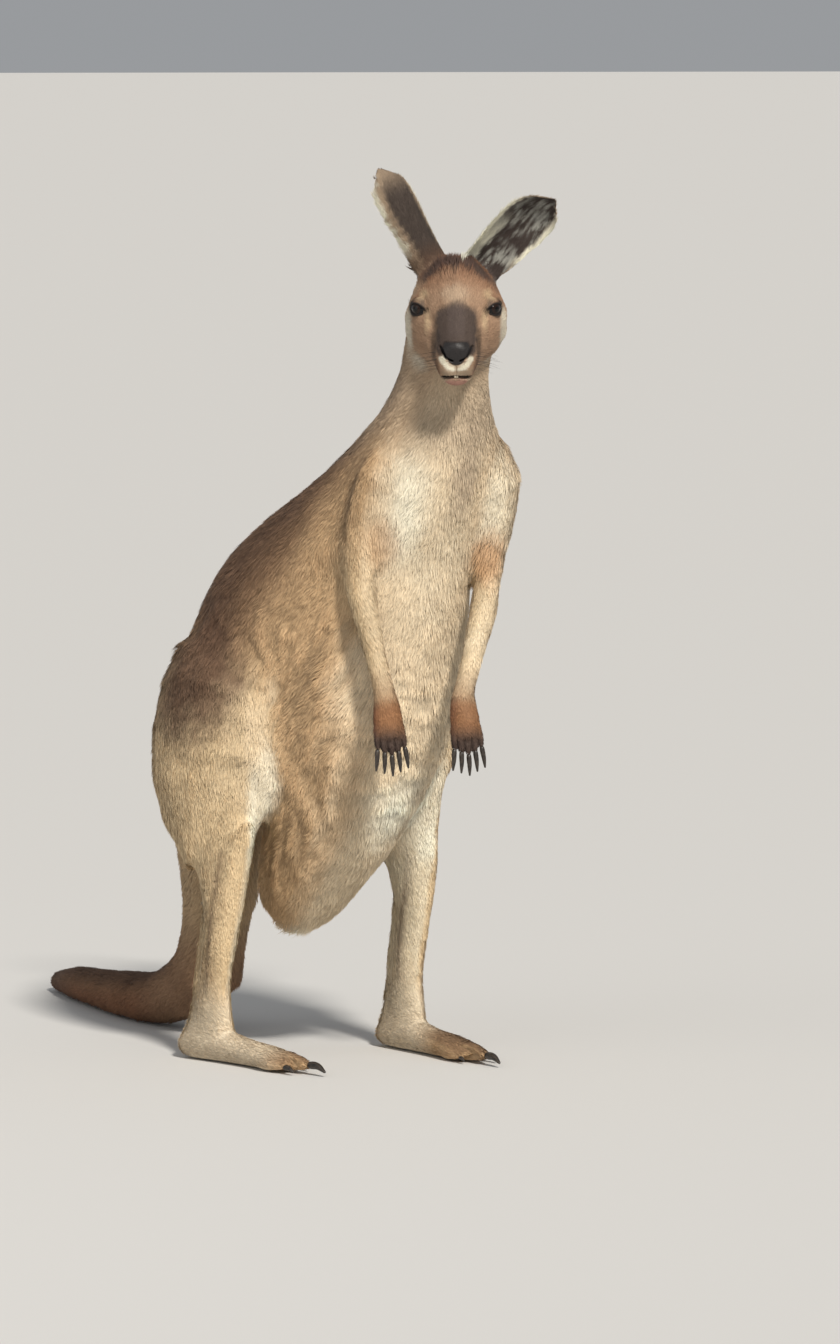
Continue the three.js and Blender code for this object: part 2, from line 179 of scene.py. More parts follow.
def merged_copy(node, name):
    """A copy of a solid whose loose triangles are merged into one shell, left in edit mode."""
    copy = bpy.data.objects.new(name, solids[node].data.copy())
    scene.collection.objects.link(copy)
    only(copy)
    bpy.ops.object.mode_set(mode="EDIT")
    bpy.ops.mesh.select_all(action="SELECT")
    bpy.ops.mesh.remove_doubles(threshold=0.01 * MM)
    return copy


print("helpers ready for", len(solids), "solids")


# %% Melt the flesh into one surface
SWELL = 0.6 * MM
VOXEL = 2.5 * MM


def swollen_copy(node):
    copy = merged_copy(node, "flesh_" + node)
    bpy.ops.transform.shrink_fatten(value=SWELL)
    bpy.ops.object.mode_set(mode="OBJECT")
    return copy


under_skin = flesh_nodes + eye_nodes
copies = [swollen_copy(node) for node in under_skin]
flesh_points, flesh_faces, face_node = [], [], []
for index, copy in enumerate(copies):
    start = len(flesh_points)
    flesh_points += [v.co.copy() for v in copy.data.vertices]
    flesh_faces += [[start + corner for corner in face.vertices] for face in copy.data.polygons]
    face_node += [index] * len(copy.data.polygons)
flesh_tree = BVHTree.FromPolygons(flesh_points, flesh_faces)
face_node = np.array(face_node)

skin = joined(copies, "skin")
skin.data.name = "skin"
melt = skin.modifiers.new("melt", "REMESH")
melt.mode = "VOXEL"
melt.voxel_size = VOXEL
apply_modifiers(skin)
print("skin melted,", triangles(skin), "triangles")


# %% [markdown]
# ## What each part of the coat is like
#
# A coat isn't even: it is deep and long on the trunk, short on the shanks, and like velvet on the hands
# and the face. One row for each part of the body says how far the skin lies inside the solid, how long
# and wide a lock is and how far it stands off the skin. Values are spread over the surface later, so that
# one part runs into the next.

# %% The coat, part by part
COAT = {  # depth, lock length, lock width, all in mm, then lift in degrees
    "trunk": (3.2, 16, 1.25, 10.5),
    "neck": (2.4, 13, 1.1, 10),
    "head": (1.3, 6, 0.9, 12),
    "eye": (1.0, 3, 0.6, 8),
    "lower_jaw": (0.9, 5, 0.8, 10),
    "ear": (0.5, 6, 0.7, 8),
    "upper_arm": (2.2, 13, 1.15, 10),
    "forearm": (1.8, 9, 1.0, 12),
    "hand": (0.6, 5, 0.9, 10),
    "thigh": (3.0, 14, 1.2, 11),
    "shank": (2.0, 9, 1.1, 11),
    "foot": (1.0, 7, 1.1, 10),
    "tail_base": (2.8, 14, 1.6, 12),
    "tail_middle": (2.2, 11, 1.4, 12),
    "tail_tip": (1.8, 11, 1.3, 13),
}
FINE_PARTS = ("head", "lower_jaw", "eye", "ear", "hand")


def part_of(node):
    """The part's name without its side."""
    for side in SIDES:
        if node.startswith(side + "_"):
            return node[len(side) + 1:]
    return node


def numbers_of(*names):
    """Where these parts, or these single solids, stand in under_skin."""
    return [i for i, node in enumerate(under_skin) if part_of(node) in names or node in names]


def nearest_node(points):
    """For each point, the index in under_skin of the solid that it lies on."""
    return face_node[[flesh_tree.find_nearest(point)[2] for point in points.tolist()]]


def smooth_step(value):
    """A soft step: nothing up to 0, one from 1 on, and a smooth slope between."""
    value = np.clip(value, 0.0, 1.0)
    return value * value * (3 - 2 * value)


def rising(value, start, end):
    """The same step between a first value and a second one."""
    return smooth_step((value - start) / (end - start))


print(len(COAT), "kinds of coat")


# %% [markdown]
# ## Ease the facets out, then thin the mesh
#
# The solids are faceted, and flesh is not. One Smooth modifier rounds the cups of the ears, a stronger one
# eases the facets out of the broad parts, and a last light one goes over all. Then Decimate takes away
# most of the faces, because locks will cover them. A vertex group keeps it off the face, ears and hands,
# where every face counts.

# %% Smooth and thin the broad parts
SKIN_TRIANGLES = 105_000
BACK_OF_HEAD = -20 * MM
EASING = (("cups", 26), ("broad", 55), ("", 4))  # the vertex group, or none for all, and how many rounds


def group_points(name, chosen):
    """Puts the chosen points in a vertex group of the skin."""
    skin.vertex_groups.new(name=name).add(np.nonzero(chosen)[0].tolist(), 1.0, "REPLACE")


points = coordinates(skin)
node_at = nearest_node(points)
is_fine = np.isin(node_at, numbers_of(*FINE_PARTS))
back_of_head = (in_head(points)[:, 1] < BACK_OF_HEAD) & ~np.isin(node_at, numbers_of("ear", "hand"))
group_points("broad", ~is_fine | back_of_head)
group_points("cups", np.isin(node_at, numbers_of("ear")))
for group, rounds in EASING:
    ease = skin.modifiers.new("ease", "SMOOTH")
    ease.factor = 0.5
    ease.iterations = rounds
    ease.vertex_group = group
thin = skin.modifiers.new("thin", "DECIMATE")
thin.ratio = SKIN_TRIANGLES / triangles(skin)
thin.vertex_group = "broad"
apply_modifiers(skin)
skin.vertex_groups.clear()
print("skin thinned to", triangles(skin), "triangles")


# %% [markdown]
# ## More faces where the face needs them
#
# Fingers, toes, lids, nostrils and lips are finer than the voxels. Subdivide adds faces there alone: once
# round the claws, then twice round the eyes and the muzzle, the second time in a smaller zone.

# %% Refine the digits, the eyes and the muzzle
DIGIT_REACH = {"hand": 42 * MM, "foot": 60 * MM}
MUZZLE_TIP = 84 * MM
MUZZLE_FRONT = 92 * MM
UNDER_CHIN = -90 * MM
EYE_ZONES = (22 * MM, 17 * MM)


def face_middles(piece):
    return read_values(piece.data.polygons, "center")


def refine(piece, chosen):
    """Subdivides the chosen faces once."""
    only(piece)
    piece.data.polygons.foreach_set("select", chosen)
    for items in (piece.data.vertices, piece.data.edges):
        items.foreach_set("select", np.zeros(len(items), bool))
    bpy.ops.object.mode_set(mode="EDIT")
    bpy.ops.mesh.select_mode(type="FACE")
    bpy.ops.mesh.subdivide(number_cuts=1)
    bpy.ops.object.mode_set(mode="OBJECT")


def digit_faces(centres):
    """The faces of the fingers and toes, near their claws."""
    near = np.zeros(len(centres), bool)
    for node in claw_nodes:
        reach = DIGIT_REACH["hand" if "finger" in node else "foot"]
        near |= np.linalg.norm(centres - middle(node), axis=1) < reach
    return near


eye_centres = [middle(node) for node in eye_nodes]
refine(skin, digit_faces(face_middles(skin)))
for round_number, tip in enumerate((MUZZLE_TIP, MUZZLE_FRONT)):
    centres = face_middles(skin)
    chosen = (in_head(centres)[:, 1] > tip) & (in_head(centres)[:, 2] > UNDER_CHIN)
    for eye in eye_centres:
        chosen |= np.linalg.norm(centres - eye, axis=1) < EYE_ZONES[round_number]
    refine(skin, chosen)
print("skin refined to", triangles(skin), "triangles")


# %% [markdown]
# ## Values that run over the skin
#
# The table above changes at once where one solid meets the next. To spread a value, each point takes the
# mean of its neighbours, over and over. Another helper makes soft random numbers, which clump the locks
# and mottle the colours.

# %% Spread values, and make soft noise
LATTICE = 4096
LATTICE_STEPS = (73, 179, 283)


def spread(values, edges, rounds):
    """Each point takes the mean of itself and its neighbours, many times over."""
    count = len(values)
    ends = np.concatenate([edges[:, 0], edges[:, 1]])
    others = np.concatenate([edges[:, 1], edges[:, 0]])
    share = 1 / (1 + np.bincount(ends, minlength=count))
    columns = np.array(values, float).reshape(count, -1)
    for _ in range(rounds):
        for column in columns.T:
            column[:] = (column + np.bincount(ends, column[others], count)) * share
    return columns.reshape(np.shape(values))


def noise(places, size, seed):
    """Soft random values from -1 to 1 that change over about this size."""
    table = np.random.default_rng(seed).uniform(-1, 1, LATTICE)
    cell = places / size
    corner = np.floor(cell).astype(np.int64)
    part = cell - corner
    part = part * part * (3 - 2 * part)
    total = np.zeros(len(places))
    for offset in np.ndindex(2, 2, 2):
        weight = np.prod(np.where(offset, part, 1 - part), axis=1)
        total += weight * table[((corner + offset) @ np.array(LATTICE_STEPS)) % LATTICE]
    return total


def unit(vectors):
    return vectors / np.maximum(np.linalg.norm(vectors, axis=-1, keepdims=True), 1e-9)


def normals(piece):
    return read_values(piece.data.vertices, "normal")


def move_points(piece, places):
    piece.data.vertices.foreach_set("co", places.reshape(-1))
    piece.data.update()


points = coordinates(skin)
edges = read_values(skin.data.edges, "vertices", 2, np.int64)
node_at = nearest_node(points)


def parts_mask(*names, rounds):
    """One on these parts, nothing on the others, spread a little over the borders."""
    return spread(np.isin(node_at, numbers_of(*names)).astype(float), edges, rounds)


print("skin has", len(points), "points and", len(edges), "edges")


# %% [markdown]
# ## Draw the skin in under the coat
#
# First the creases where a limb joins the trunk are eased, because muscle runs across them. The solids
# reach out to the tips of the hair, and the skin lies inside them by the depth of the coat. So each point
# then moves in along its normal, more on the trunk and hardly at all on the muzzle. The cheeks are lean
# under their hair, so they go in a little further.

# %% Sink the skin
SPREAD_ROUNDS = 24
SEAM_ROUNDS = 40
SEAM_EASING = 0.85
TRUNK_ROUNDS = 26
TRUNK_EASING = 0.8
BORDER_ROUNDS = 12
MERGING_PARTS = ("thigh", "upper_arm", "neck", "tail_base", "shank")
CHEEK_DEPTH = 4 * MM

for name in MERGING_PARTS:
    share = parts_mask(name, rounds=SEAM_ROUNDS)
    seam = smooth_step(4 * share * (1 - share))[:, None] * SEAM_EASING
    points = points * (1 - seam) + spread(points, edges, 2 * SEAM_ROUNDS) * seam
on_trunk = parts_mask("trunk", rounds=BORDER_ROUNDS)
points += (spread(points, edges, TRUNK_ROUNDS) - points) * TRUNK_EASING * on_trunk[:, None]
move_points(skin, points)
rows = np.array([COAT[part_of(node)] for node in under_skin])
coat = spread(rows[node_at], edges, SPREAD_ROUNDS)
muzzle = in_head(points)
bare = smooth_step((muzzle[:, 1] - 40 * MM) / (45 * MM)) * (muzzle[:, 2] > UNDER_CHIN)
coat[:, :3] *= (1 - 0.55 * bare)[:, None]
cheeks = smooth_step((np.abs(muzzle[:, 0]) - 44 * MM) / (14 * MM))
cheeks *= smooth_step((12 * MM - muzzle[:, 2]) / (30 * MM)) * np.isin(node_at, numbers_of("head"))
depth = coat[:, 0] * MM + SWELL + CHEEK_DEPTH * spread(cheeks, edges, 14)
points -= normals(skin) * depth[:, None]
move_points(skin, points)
print("coat depth from", coat[:, 0].min().round(2), "to", coat[:, 0].max().round(2), "mm")


# %% [markdown]
# ## Fingers, toes and folds
#
# Fingers and toes are parted by grooves that run up from between the claws. On the belly the loose skin
# lies in shallow level folds, and on the flank in slanting ones.

# %% Shape the small forms
DIGIT_GROOVES = {  # half width, depth and length, in mm
    "finger": (2.5, 3.4, 38),
    "toe": (3.4, 4.0, 52),
}
FOLD_HEIGHT = 2.3 * MM
FOLD_SINK = 0.4 * MM


def part_digits(places, outward, side, kind):
    """Presses a groove into the hand or foot between each claw and the next."""
    carrier = "_hand" if kind == "finger" else "_foot"
    half, deep, long = (value * MM for value in DIGIT_GROOVES[kind])
    roots = np.array([middle(node) for node in claws_of(side, kind)])
    forward = unit(roots.mean(axis=0) - middle(side + carrier))
    line = roots[np.argmax(np.linalg.norm(roots - roots[0], axis=1))] - roots[0]
    across = unit(line - forward * (line @ forward))
    roots = roots[np.argsort(roots @ across)]
    groove = np.zeros(len(places))
    for one, other in zip(roots, roots[1:]):
        between = (one + other) / 2
        beside = np.abs((places - between) @ across)
        along = (places - between) @ forward
        depth = (1 - smooth_step(beside / half)) * smooth_step((along + long) / (long * 0.5))
        groove = np.maximum(groove, depth)
    near = np.linalg.norm(places - roots.mean(axis=0), axis=1) < DIGIT_REACH[carrier[1:]] * 1.4
    groove *= near & np.isin(node_at, numbers_of(side + carrier))
    return places - outward * (groove * deep)[:, None]


def level_folds(places):
    """Soft ridges that run level round the belly, from -1 to 1."""
    return noise(places * (0.22, 0.22, 1), 6.5 * MM, 41)


def slanting_folds(places):
    """Soft ridges that slant over the flank, from -1 to 1."""
    slant = np.stack([places[:, 0] * 0.2, places[:, 1] * 0.75 + places[:, 2] * 0.6,
                      (places[:, 2] - places[:, 1]) * 0.25], axis=1)
    return noise(slant + 0.012 * noise(places, 40 * MM, 42)[:, None], 10 * MM, 43)


outward = normals(skin)
for side in SIDES:
    for kind in DIGIT_GROOVES:
        points = part_digits(points, outward, side, kind)
on_thigh = parts_mask("thigh", rounds=BORDER_ROUNDS)
low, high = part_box("trunk")
share_up = (points[:, 2] - low[2]) / (high[2] - low[2])
belly = smooth_step((outward @ unit(np.array([0.1, -1.0, -0.1])) - 0.3) / 0.4) * on_trunk
belly *= smooth_step((share_up - 0.16) / 0.12) * smooth_step((0.60 - share_up) / 0.16)
flank = smooth_step((np.abs(outward[:, 0]) - 0.5) / 0.3) * on_trunk
flank *= smooth_step((0.72 - share_up) / 0.2) * smooth_step((share_up - 0.05) / 0.1)
flank += 0.8 * on_thigh * smooth_step((share_up - 0.42) / 0.15)
fold = belly * level_folds(points) + 0.9 * flank * slanting_folds(points)
points += outward * (fold * FOLD_HEIGHT - FOLD_SINK * (belly + flank))[:, None]
move_points(skin, points)
print("digits parted, skin folded")


# %% [markdown]
# ## Model the face
#
# The features are pushed and pulled out of the skin, as a sculptor works clay, each by a short function
# of where a point lies on the head. All places are in the head's own directions, in millimetres.
#
# The eyelids come first. Round each eyeball the skin is pressed onto a globe a little bigger than the
# eyeball, which makes the lids. Inside an almond-shaped opening it sinks behind the eyeball instead.

# %% Open the eyelids
EYE_OUTWARD = math.radians(40)
EYE_UPWARD = math.radians(14)
LID_WIDE = math.radians(60)
LID_TALL = math.radians(29)
LID_THICK = 1.3 * MM
LID_SINK = 2.5 * MM
LID_EDGE = 1.14
LID_END = 1.95


def eye_directions(side):
    """Where an eye looks, and the directions across and up its opening, in the head's directions."""
    sign = SIDES[side]
    outward = np.array([sign * math.sin(EYE_OUTWARD), math.cos(EYE_OUTWARD), 0.0])
    looks = math.cos(EYE_UPWARD) * outward + math.sin(EYE_UPWARD) * np.array([0.0, 0.0, 1.0])
    across = unit(np.cross(looks, np.array([0.0, 0.0, 1.0]))) * -sign
    return looks, across, np.cross(looks, across) * sign


def open_lids(places, side):
    """Presses the skin onto the lids of one eye. Says too where points lie in its opening, and which do."""
    centre = in_head(middle(side + "_eye"))
    looks, across, upward = eye_directions(side)
    away = places - centre
    radius = np.linalg.norm(away, axis=1)
    wide = np.arctan2(away @ across, away @ looks)
    tall = np.arctan2(away @ upward, away @ looks)
    ring = np.hypot(wide / LID_WIDE, tall / LID_TALL)
    lid = EYE_RADIUS + LID_THICK
    sunk = EYE_RADIUS - LID_SINK
    over = np.where(ring < 1, sunk + (lid - sunk) * smooth_step((ring - 0.9) / 0.1), lid)
    hold = 1 - rising(ring, LID_EDGE, LID_END)
    target = np.where(ring < LID_END, over * hold + radius * (1 - hold), radius)
    target = np.where((ring > 1) & (radius < 2 * EYE_RADIUS), np.maximum(target, lid * 0.995), target)
    nearby = (radius < 2 * EYE_RADIUS) & (away @ looks > 0)
    return np.where(nearby[:, None], centre + away * (target / radius)[:, None], places), ring, nearby


face = in_head(points)
lid_ring = np.full(len(points), 9.0)
for side in SIDES:
    face, ring, nearby = open_lids(face, side)
    lid_ring = np.where(nearby, np.minimum(lid_ring, ring), lid_ring)
print("lids opened, with", int((lid_ring < 1).sum()), "points behind the eyes")


# %% [markdown]
# The nose pad is a bare, rounded triangle between two comma-shaped nostrils. A groove runs from it to the
# lip, and the mouth is a thin line that hangs a little open in front. Each is a push along the nose or
# along the skin's normal, faded out at its edge.

# %% Shape the nose and the mouth
NOSE_PAD = {"across": 19.5, "top": 5.0, "bottom": -22.0, "front": 88.0}
NOSTRIL = {"outer": (17.0, -5.5), "bend": (12.5, -13.5), "inner": (4.6, -16.5), "wide": 2.4, "deep": 6.0}
LIP = {"line": -39.0, "gape": 3.0, "slit": 0.55, "half": 16.0, "corner": 44.0, "deep": 6.5}
FRONT_OF_FACE = 74.0
SIDE_BUMPS = {  # height, centre and reach, all in mm, for a bump on each side of the face
    "side of the muzzle": (-3.0, (27, 62, -4), (9, 34, 30)),
    "upper lip": (2.0, (11, 100, -28), (12, 16, 12)),
    "wing of the nose": (1.2, (20, 96, -3), (8, 10, 10)),
    "brow": (2.2, (38, 22, 34), (24, 18, 9)),
    "tear line": (-2.0, (27, 44, 10), (10, 24, 12)),
}


def bump_at(places, centre, reach):
    """One at the centre, falling to nothing at the reach, in millimetres and in the head's directions."""
    away = (places / MM - np.array(centre)) / np.array(reach)
    return 1 - smooth_step(np.linalg.norm(away, axis=1))


def distance_to_path(flat, path):
    """How far points in a plane lie from a bent line, and how far along it the nearest place is."""
    best = np.full(len(flat), 1e9)
    along = np.zeros(len(flat))
    for index, (start, end) in enumerate(zip(path, path[1:])):
        run = np.array(end) - np.array(start)
        share = np.clip((flat - start) @ run / (run @ run), 0, 1)
        gap = np.linalg.norm(flat - start - share[:, None] * run, axis=1)
        closer = gap < best
        best = np.where(closer, gap, best)
        along = np.where(closer, (index + share) / (len(path) - 1), along)
    return best, along


def nose_pad(places):
    """One on the bare pad, nothing off it, with a narrow slope between."""
    left, ahead, up = (places / MM).T
    middle_up = (NOSE_PAD["top"] + NOSE_PAD["bottom"]) / 2
    tall = (NOSE_PAD["top"] - NOSE_PAD["bottom"]) / 2
    lift = (up - middle_up) / tall
    half = NOSE_PAD["across"] * np.clip(0.72 + 0.30 * lift, 0.2, 1)
    ring = (np.abs(left / half) ** 2.6 + np.abs(lift) ** 2.6) ** (1 / 2.6)
    return smooth_step((1.06 - ring) / 0.14) * (ahead > NOSE_PAD["front"])


def nostrils(places):
    """One in the comma of each nostril, nothing off it."""
    left, ahead, up = (places / MM).T
    flat = np.stack([np.abs(left), up], axis=1)
    gap, along = distance_to_path(flat, [NOSTRIL["outer"], NOSTRIL["bend"], NOSTRIL["inner"]])
    half = NOSTRIL["wide"] * (1 - 0.55 * along)
    return smooth_step((half - gap) / 1.2 + 0.5) * (ahead > NOSE_PAD["front"])


def mouth(places):
    """One in the slit between the lips, nothing off it, and how far the slit gapes."""
    left, ahead, up = (places / MM).T
    back = smooth_step((FRONT_OF_FACE + 18 - ahead) / 40)
    line = LIP["line"] - 3.5 * back + 0.9 * np.cos(left / 5.2) * (1 - back)
    open_here = smooth_step((LIP["half"] + 6 - np.abs(left)) / 9) * (ahead > FRONT_OF_FACE)
    half = LIP["slit"] + (LIP["gape"] - LIP["slit"]) * open_here
    reach = smooth_step((ahead - LIP["corner"]) / 6)
    return smooth_step((half - np.abs(up - line)) / 0.7 + 0.5) * reach, open_here


def shape_face(places, outward):
    """Raises the nose, lips, brows and chin, and presses in the nostrils, the mouth and the tear lines."""
    slit, open_here = mouth(places)
    forward = np.array([0.0, 1.0, 0.0])
    out = 0.9 * nose_pad(places)
    out -= 1.1 * bump_at(places, (0, 104, -30), (1.7, 12, 13))
    for sign in SIDES.values():
        for height, (left, ahead, up), reach in SIDE_BUMPS.values():
            out += height * bump_at(places, (sign * left, ahead, up), reach)
    out += 1.4 * bump_at(places, (0, 96, -47), (18, 14, 7))
    moved = places + outward * (out * MM)[:, None]
    moved -= forward * (nostrils(places) * NOSTRIL["deep"] * MM)[:, None]
    moved -= outward * (slit * (1.2 + LIP["deep"] * open_here) * MM)[:, None]
    return moved


on_head = (np.abs(face[:, 0]) < 80 * MM) & (face[:, 2] > UNDER_CHIN) & (face[:, 1] > 0)
outward = normals(skin) @ head_axes.T
face = np.where(on_head[:, None], shape_face(face, outward), face)
points = head_centre + face @ head_axes
move_points(skin, points)
print("face shaped over", int(on_head.sum()), "points")


# %% [markdown]
# ## Which way the hair lies
#
# Hair leans away from the nose over the whole head, down the back and the belly, down each limb to its
# claws, and along the tail to its tip. Each part gets one direction from the places of its neighbours.
# Spread over the skin and pressed flat onto it, they make one smooth field. The grain is the same place on
# the skin, squeezed along that direction. It draws the streaks of the fur later on.

# %% Comb the coat
def lie_of(node):
    """The direction in which the hair of a part lies."""
    side = node.split("_")[0] + "_"
    chains = {
        "trunk": ("neck", "tail_base"),
        "neck": ("head", "trunk"),
        "thigh": (side + "thigh", side + "shank"),
        "shank": (side + "thigh", side + "shank"),
        "foot": (side + "foot", side + "fourth_toe_claw"),
        "upper_arm": (side + "upper_arm", side + "forearm"),
        "forearm": (side + "forearm", side + "hand"),
        "hand": (side + "hand", side + "finger_claw_3"),
        "ear": ("head", side + "ear"),
        "tail_base": ("trunk", "tail_middle"),
        "tail_middle": ("tail_base", "tail_tip"),
        "tail_tip": ("tail_middle", "tail_tip"),
    }
    start, end = chains.get(part_of(node), ("lower_jaw", "neck"))
    return unit(middle(end) - middle(start))


NOSE_TIP = from_head(0, 106 * MM, -14 * MM)
NOSE_REACH = 70 * MM
HEAD_PARTS = ("head", "lower_jaw", "eye")
GRAIN_STRETCH = 8.0

points = coordinates(skin)
node_lies = np.array([lie_of(node) for node in under_skin])
on_face = np.isin(node_at, numbers_of(*HEAD_PARTS))
lie = np.where(on_face[:, None], unit(points - NOSE_TIP), node_lies[node_at])
lie = spread(lie, edges, 2 * SPREAD_ROUNDS)
skin_normals = normals(skin)
lie = unit(lie - skin_normals * np.sum(lie * skin_normals, axis=1, keepdims=True))

from_middle = points - np.array([middle(node) for node in under_skin])[node_at]
along = np.sum(from_middle * node_lies[node_at], axis=1, keepdims=True)
grain = from_middle - node_lies[node_at] * along * (1 - 1 / GRAIN_STRETCH) + node_at[:, None]
from_nose = np.linalg.norm(points - NOSE_TIP, axis=1, keepdims=True)
radiating = unit(points - NOSE_TIP) * (NOSE_REACH + from_nose / GRAIN_STRETCH)
grain = np.where(on_face[:, None], radiating, grain)
print("coat combed over", len(lie), "points")


# %% [markdown]
# ## The colours of the coat
#
# A grey kangaroo is sandy on its sides, darker on the back and rump, cream below, white inside the legs,
# and dark on the muzzle, hands, feet and tail tip. Each part has its base colour, and soft-edged
# patches are painted over it, first the broad ones, then the marks of the face. Skin and locks both take
# their colour from this one painting, so they always agree.

# %% The palette
CREAM = (0.72, 0.59, 0.41)
WHITE = (0.88, 0.85, 0.70)
SAND = (0.55, 0.37, 0.205)
BUFF = (0.68, 0.52, 0.315)
TAN = (0.31, 0.185, 0.112)
GINGER = (0.50, 0.27, 0.12)
DOVE = (0.46, 0.355, 0.25)
GREY_BROWN = (0.225, 0.132, 0.074)
UMBER = (0.135, 0.076, 0.047)
RUST = (0.235, 0.105, 0.053)
AUBURN = (0.12, 0.050, 0.028)
CHARCOAL = (0.050, 0.039, 0.036)
BLACK = (0.012, 0.010, 0.010)
SILVER = (0.62, 0.62, 0.55)
FLESH = (0.40, 0.18, 0.145)
ASH = (0.62, 0.57, 0.46)

BASE = {
    "trunk": SAND,
    "neck": SAND,
    "head": TAN,
    "eye": CHARCOAL,
    "lower_jaw": DOVE,
    "ear": GREY_BROWN,
    "upper_arm": SAND,
    "forearm": BUFF,
    "hand": RUST,
    "thigh": BUFF,
    "shank": BUFF,
    "foot": SAND,
    "tail_base": BUFF,
    "tail_middle": TAN,
    "tail_tip": UMBER,
}


def paint(colour, amount):
    """Lays a colour over the painting, by an amount from 0 to 1 at each point."""
    global painting
    amount = np.clip(amount, 0, 1)[:, None]
    painting = painting * (1 - amount) + np.array(colour) * amount


def within(node, across, along, height):
    """A place in a part's box, by shares of its width, its length and its height."""
    low, high = (np.array(corner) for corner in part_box(node))
    return low + (high - low) * np.array([across, along, height])


def patch(centre, reach, soft=0.6):
    """One at the centre, nothing past the reach, in mm. A larger soft gives a wider edge."""
    away = np.linalg.norm((points - np.array(centre)) / (np.array(reach) * MM), axis=1)
    ragged = away + 0.08 * noise(points, 9 * MM, 5) + 0.14 * noise(points, 30 * MM, 6)
    return smooth_step((1 - ragged) / soft)


def facing(direction, start, end):
    """How far the skin faces a direction: nothing at the first cosine, one at the second."""
    return rising(skin_normals @ unit(np.array(direction)), start, end)


def below(height, over):
    """One well below a height, nothing above it, with a slope of this many millimetres."""
    return smooth_step((height - points[:, 2]) / (over * MM) + 0.5)


def slope_up(height, over):
    """One well above a height, nothing below it, with a slope of this many millimetres."""
    return 1 - below(height, over)


print(len(BASE), "parts have a base colour")


# %% Paint the body
# The groove between the tendon and the bone of each shank is not shaped; its shade is painted along it as
# dark lines.
TENDON_GROOVE = [(0.34, 0.74), (0.50, 0.45), (0.62, 0.12)]  # back and up, as shares of a shank
TENDON_GROOVE_PAINTED_SHADE = ((GREY_BROWN, 0.30, 16 * MM), (UMBER, 0.55, 6 * MM))  # a colour, how strong, and how wide
FRONT = (0.1, -1.0, -0.15)
BACK = (0.0, 0.8, 0.6)
RUMP_ASIDE = 0.135
CLAWS_AHEAD = 0.11
ELBOW = (0.30, 0.40, 0.18)
POUCH = (0.42, 0.62, 0.0)

base_rows = np.array([BASE[part_of(node)] for node in under_skin])
painting = spread(base_rows[node_at], edges, SPREAD_ROUNDS)
body = parts_mask("trunk", "neck", rounds=SPREAD_ROUNDS)
thighs = parts_mask("thigh", rounds=SPREAD_ROUNDS)
shanks = parts_mask("shank", rounds=SPREAD_ROUNDS)
arms = parts_mask("upper_arm", "forearm", rounds=SPREAD_ROUNDS)
hands = parts_mask("hand", rounds=8)
feet = parts_mask("foot", rounds=8)
tails = parts_mask("tail_base", "tail_middle", "tail_tip", rounds=SPREAD_ROUNDS)

spine = unit(middle("tail_base") - middle("neck"))
backward = unit(np.cross(spine, (1.0, 0.0, 0.0)))
backness = (points - middle("trunk")) @ (backward * np.sign(backward[1])) / MM
backness += 12 * noise(points, 60 * MM, 7)
paint(GREY_BROWN, 0.88 * body * smooth_step(backness / 75))
paint(UMBER, 0.85 * body * smooth_step((backness - 45) / 70))
paint(CREAM, body * facing(FRONT, 0.15, 0.62))
paint(DOVE, 0.75 * parts_mask("neck", rounds=40))
paint(GREY_BROWN, 0.9 * parts_mask("neck", rounds=20) * facing(BACK, -0.05, 0.5))
for side, sign in SIDES.items():
    shoulder = within("trunk", 0.5 + 0.26 * sign, 0.09, 0.79)
    paint(WHITE, 0.72 * patch(shoulder, (44, 80, 120), 0.9))
    rump = (sign * RUMP_ASIDE, within("right_thigh", 0, 0.50, 0)[1], within("right_thigh", 0, 0, 0.72)[2])
    paint(UMBER, 0.96 * patch(rump, (86, 108, 138), 0.6))
    inner = facing((-sign, -0.4, 0), 0.25, 0.8) * (points[:, 0] * sign > 0)
    paint(WHITE, (0.75 * thighs + 0.45 * shanks) * inner)
    front_edge = within(side + "_shank", 0.5 - 0.25 * sign, 0.04, 0.92)
    paint(WHITE, 0.95 * patch(front_edge, (24, 44, 110), 0.5))
paint(WHITE, 0.75 * patch(within("trunk", 0.71, 0.04, 0.80), (26, 60, 95), 0.8))
paint(WHITE, 0.40 * patch(within("trunk", 0.5, 0.03, 0.62), (90, 90, 140), 0.9))
paint(DOVE, 0.70 * patch(within("trunk", 0.50, 0.02, 0.84), (28, 60, 95), 0.7))
paint(DOVE, 0.55 * body * slope_up(within("trunk", 0, 0, 0.90)[2], 70))
paint(WHITE, patch(within("trunk", 0.52, 0.25, 0.22), (70, 80, 92), 0.7))
paint(WHITE, 0.95 * patch(within("left_thigh", 0.45, 0.07, 0.28), (56, 64, 110), 0.7))
paint(WHITE, 0.80 * patch(within("trunk", *POUCH), (48, 60, 30), 0.7))
paint(SAND, 0.60 * body * below(within("trunk", 0, 0, 0.42)[2], 120) * facing((-1, 0, 0), 0.3, 0.8))
paint(CREAM, 0.65 * thighs * facing((0, -1, -0.2), 0.3, 0.9))
paint(GREY_BROWN, 0.65 * thighs * facing(BACK, 0.2, 0.8))
paint(WHITE, 0.35 * shanks * facing((0, 1, 0), 0.3, 0.9))
paint(GREY_BROWN, 0.55 * arms * facing((0, 1, 0.4), 0.1, 0.8))
paint(CREAM, 0.55 * arms * facing((0, -1, -0.3), 0.2, 0.9))
paint(GINGER, 0.75 * patch(within("left_upper_arm", *ELBOW), (30, 40, 48), 0.7))
paint(GINGER, 0.45 * patch(within("right_upper_arm", 0.80, 0.40, 0.18), (30, 40, 48), 0.7))
paint(RUST, 0.7 * arms * below(within("right_forearm", 0, 0, 0.06)[2], 100))
paint(GINGER, 0.3 * hands * facing((0, -1, 0.2), 0, 0.8))
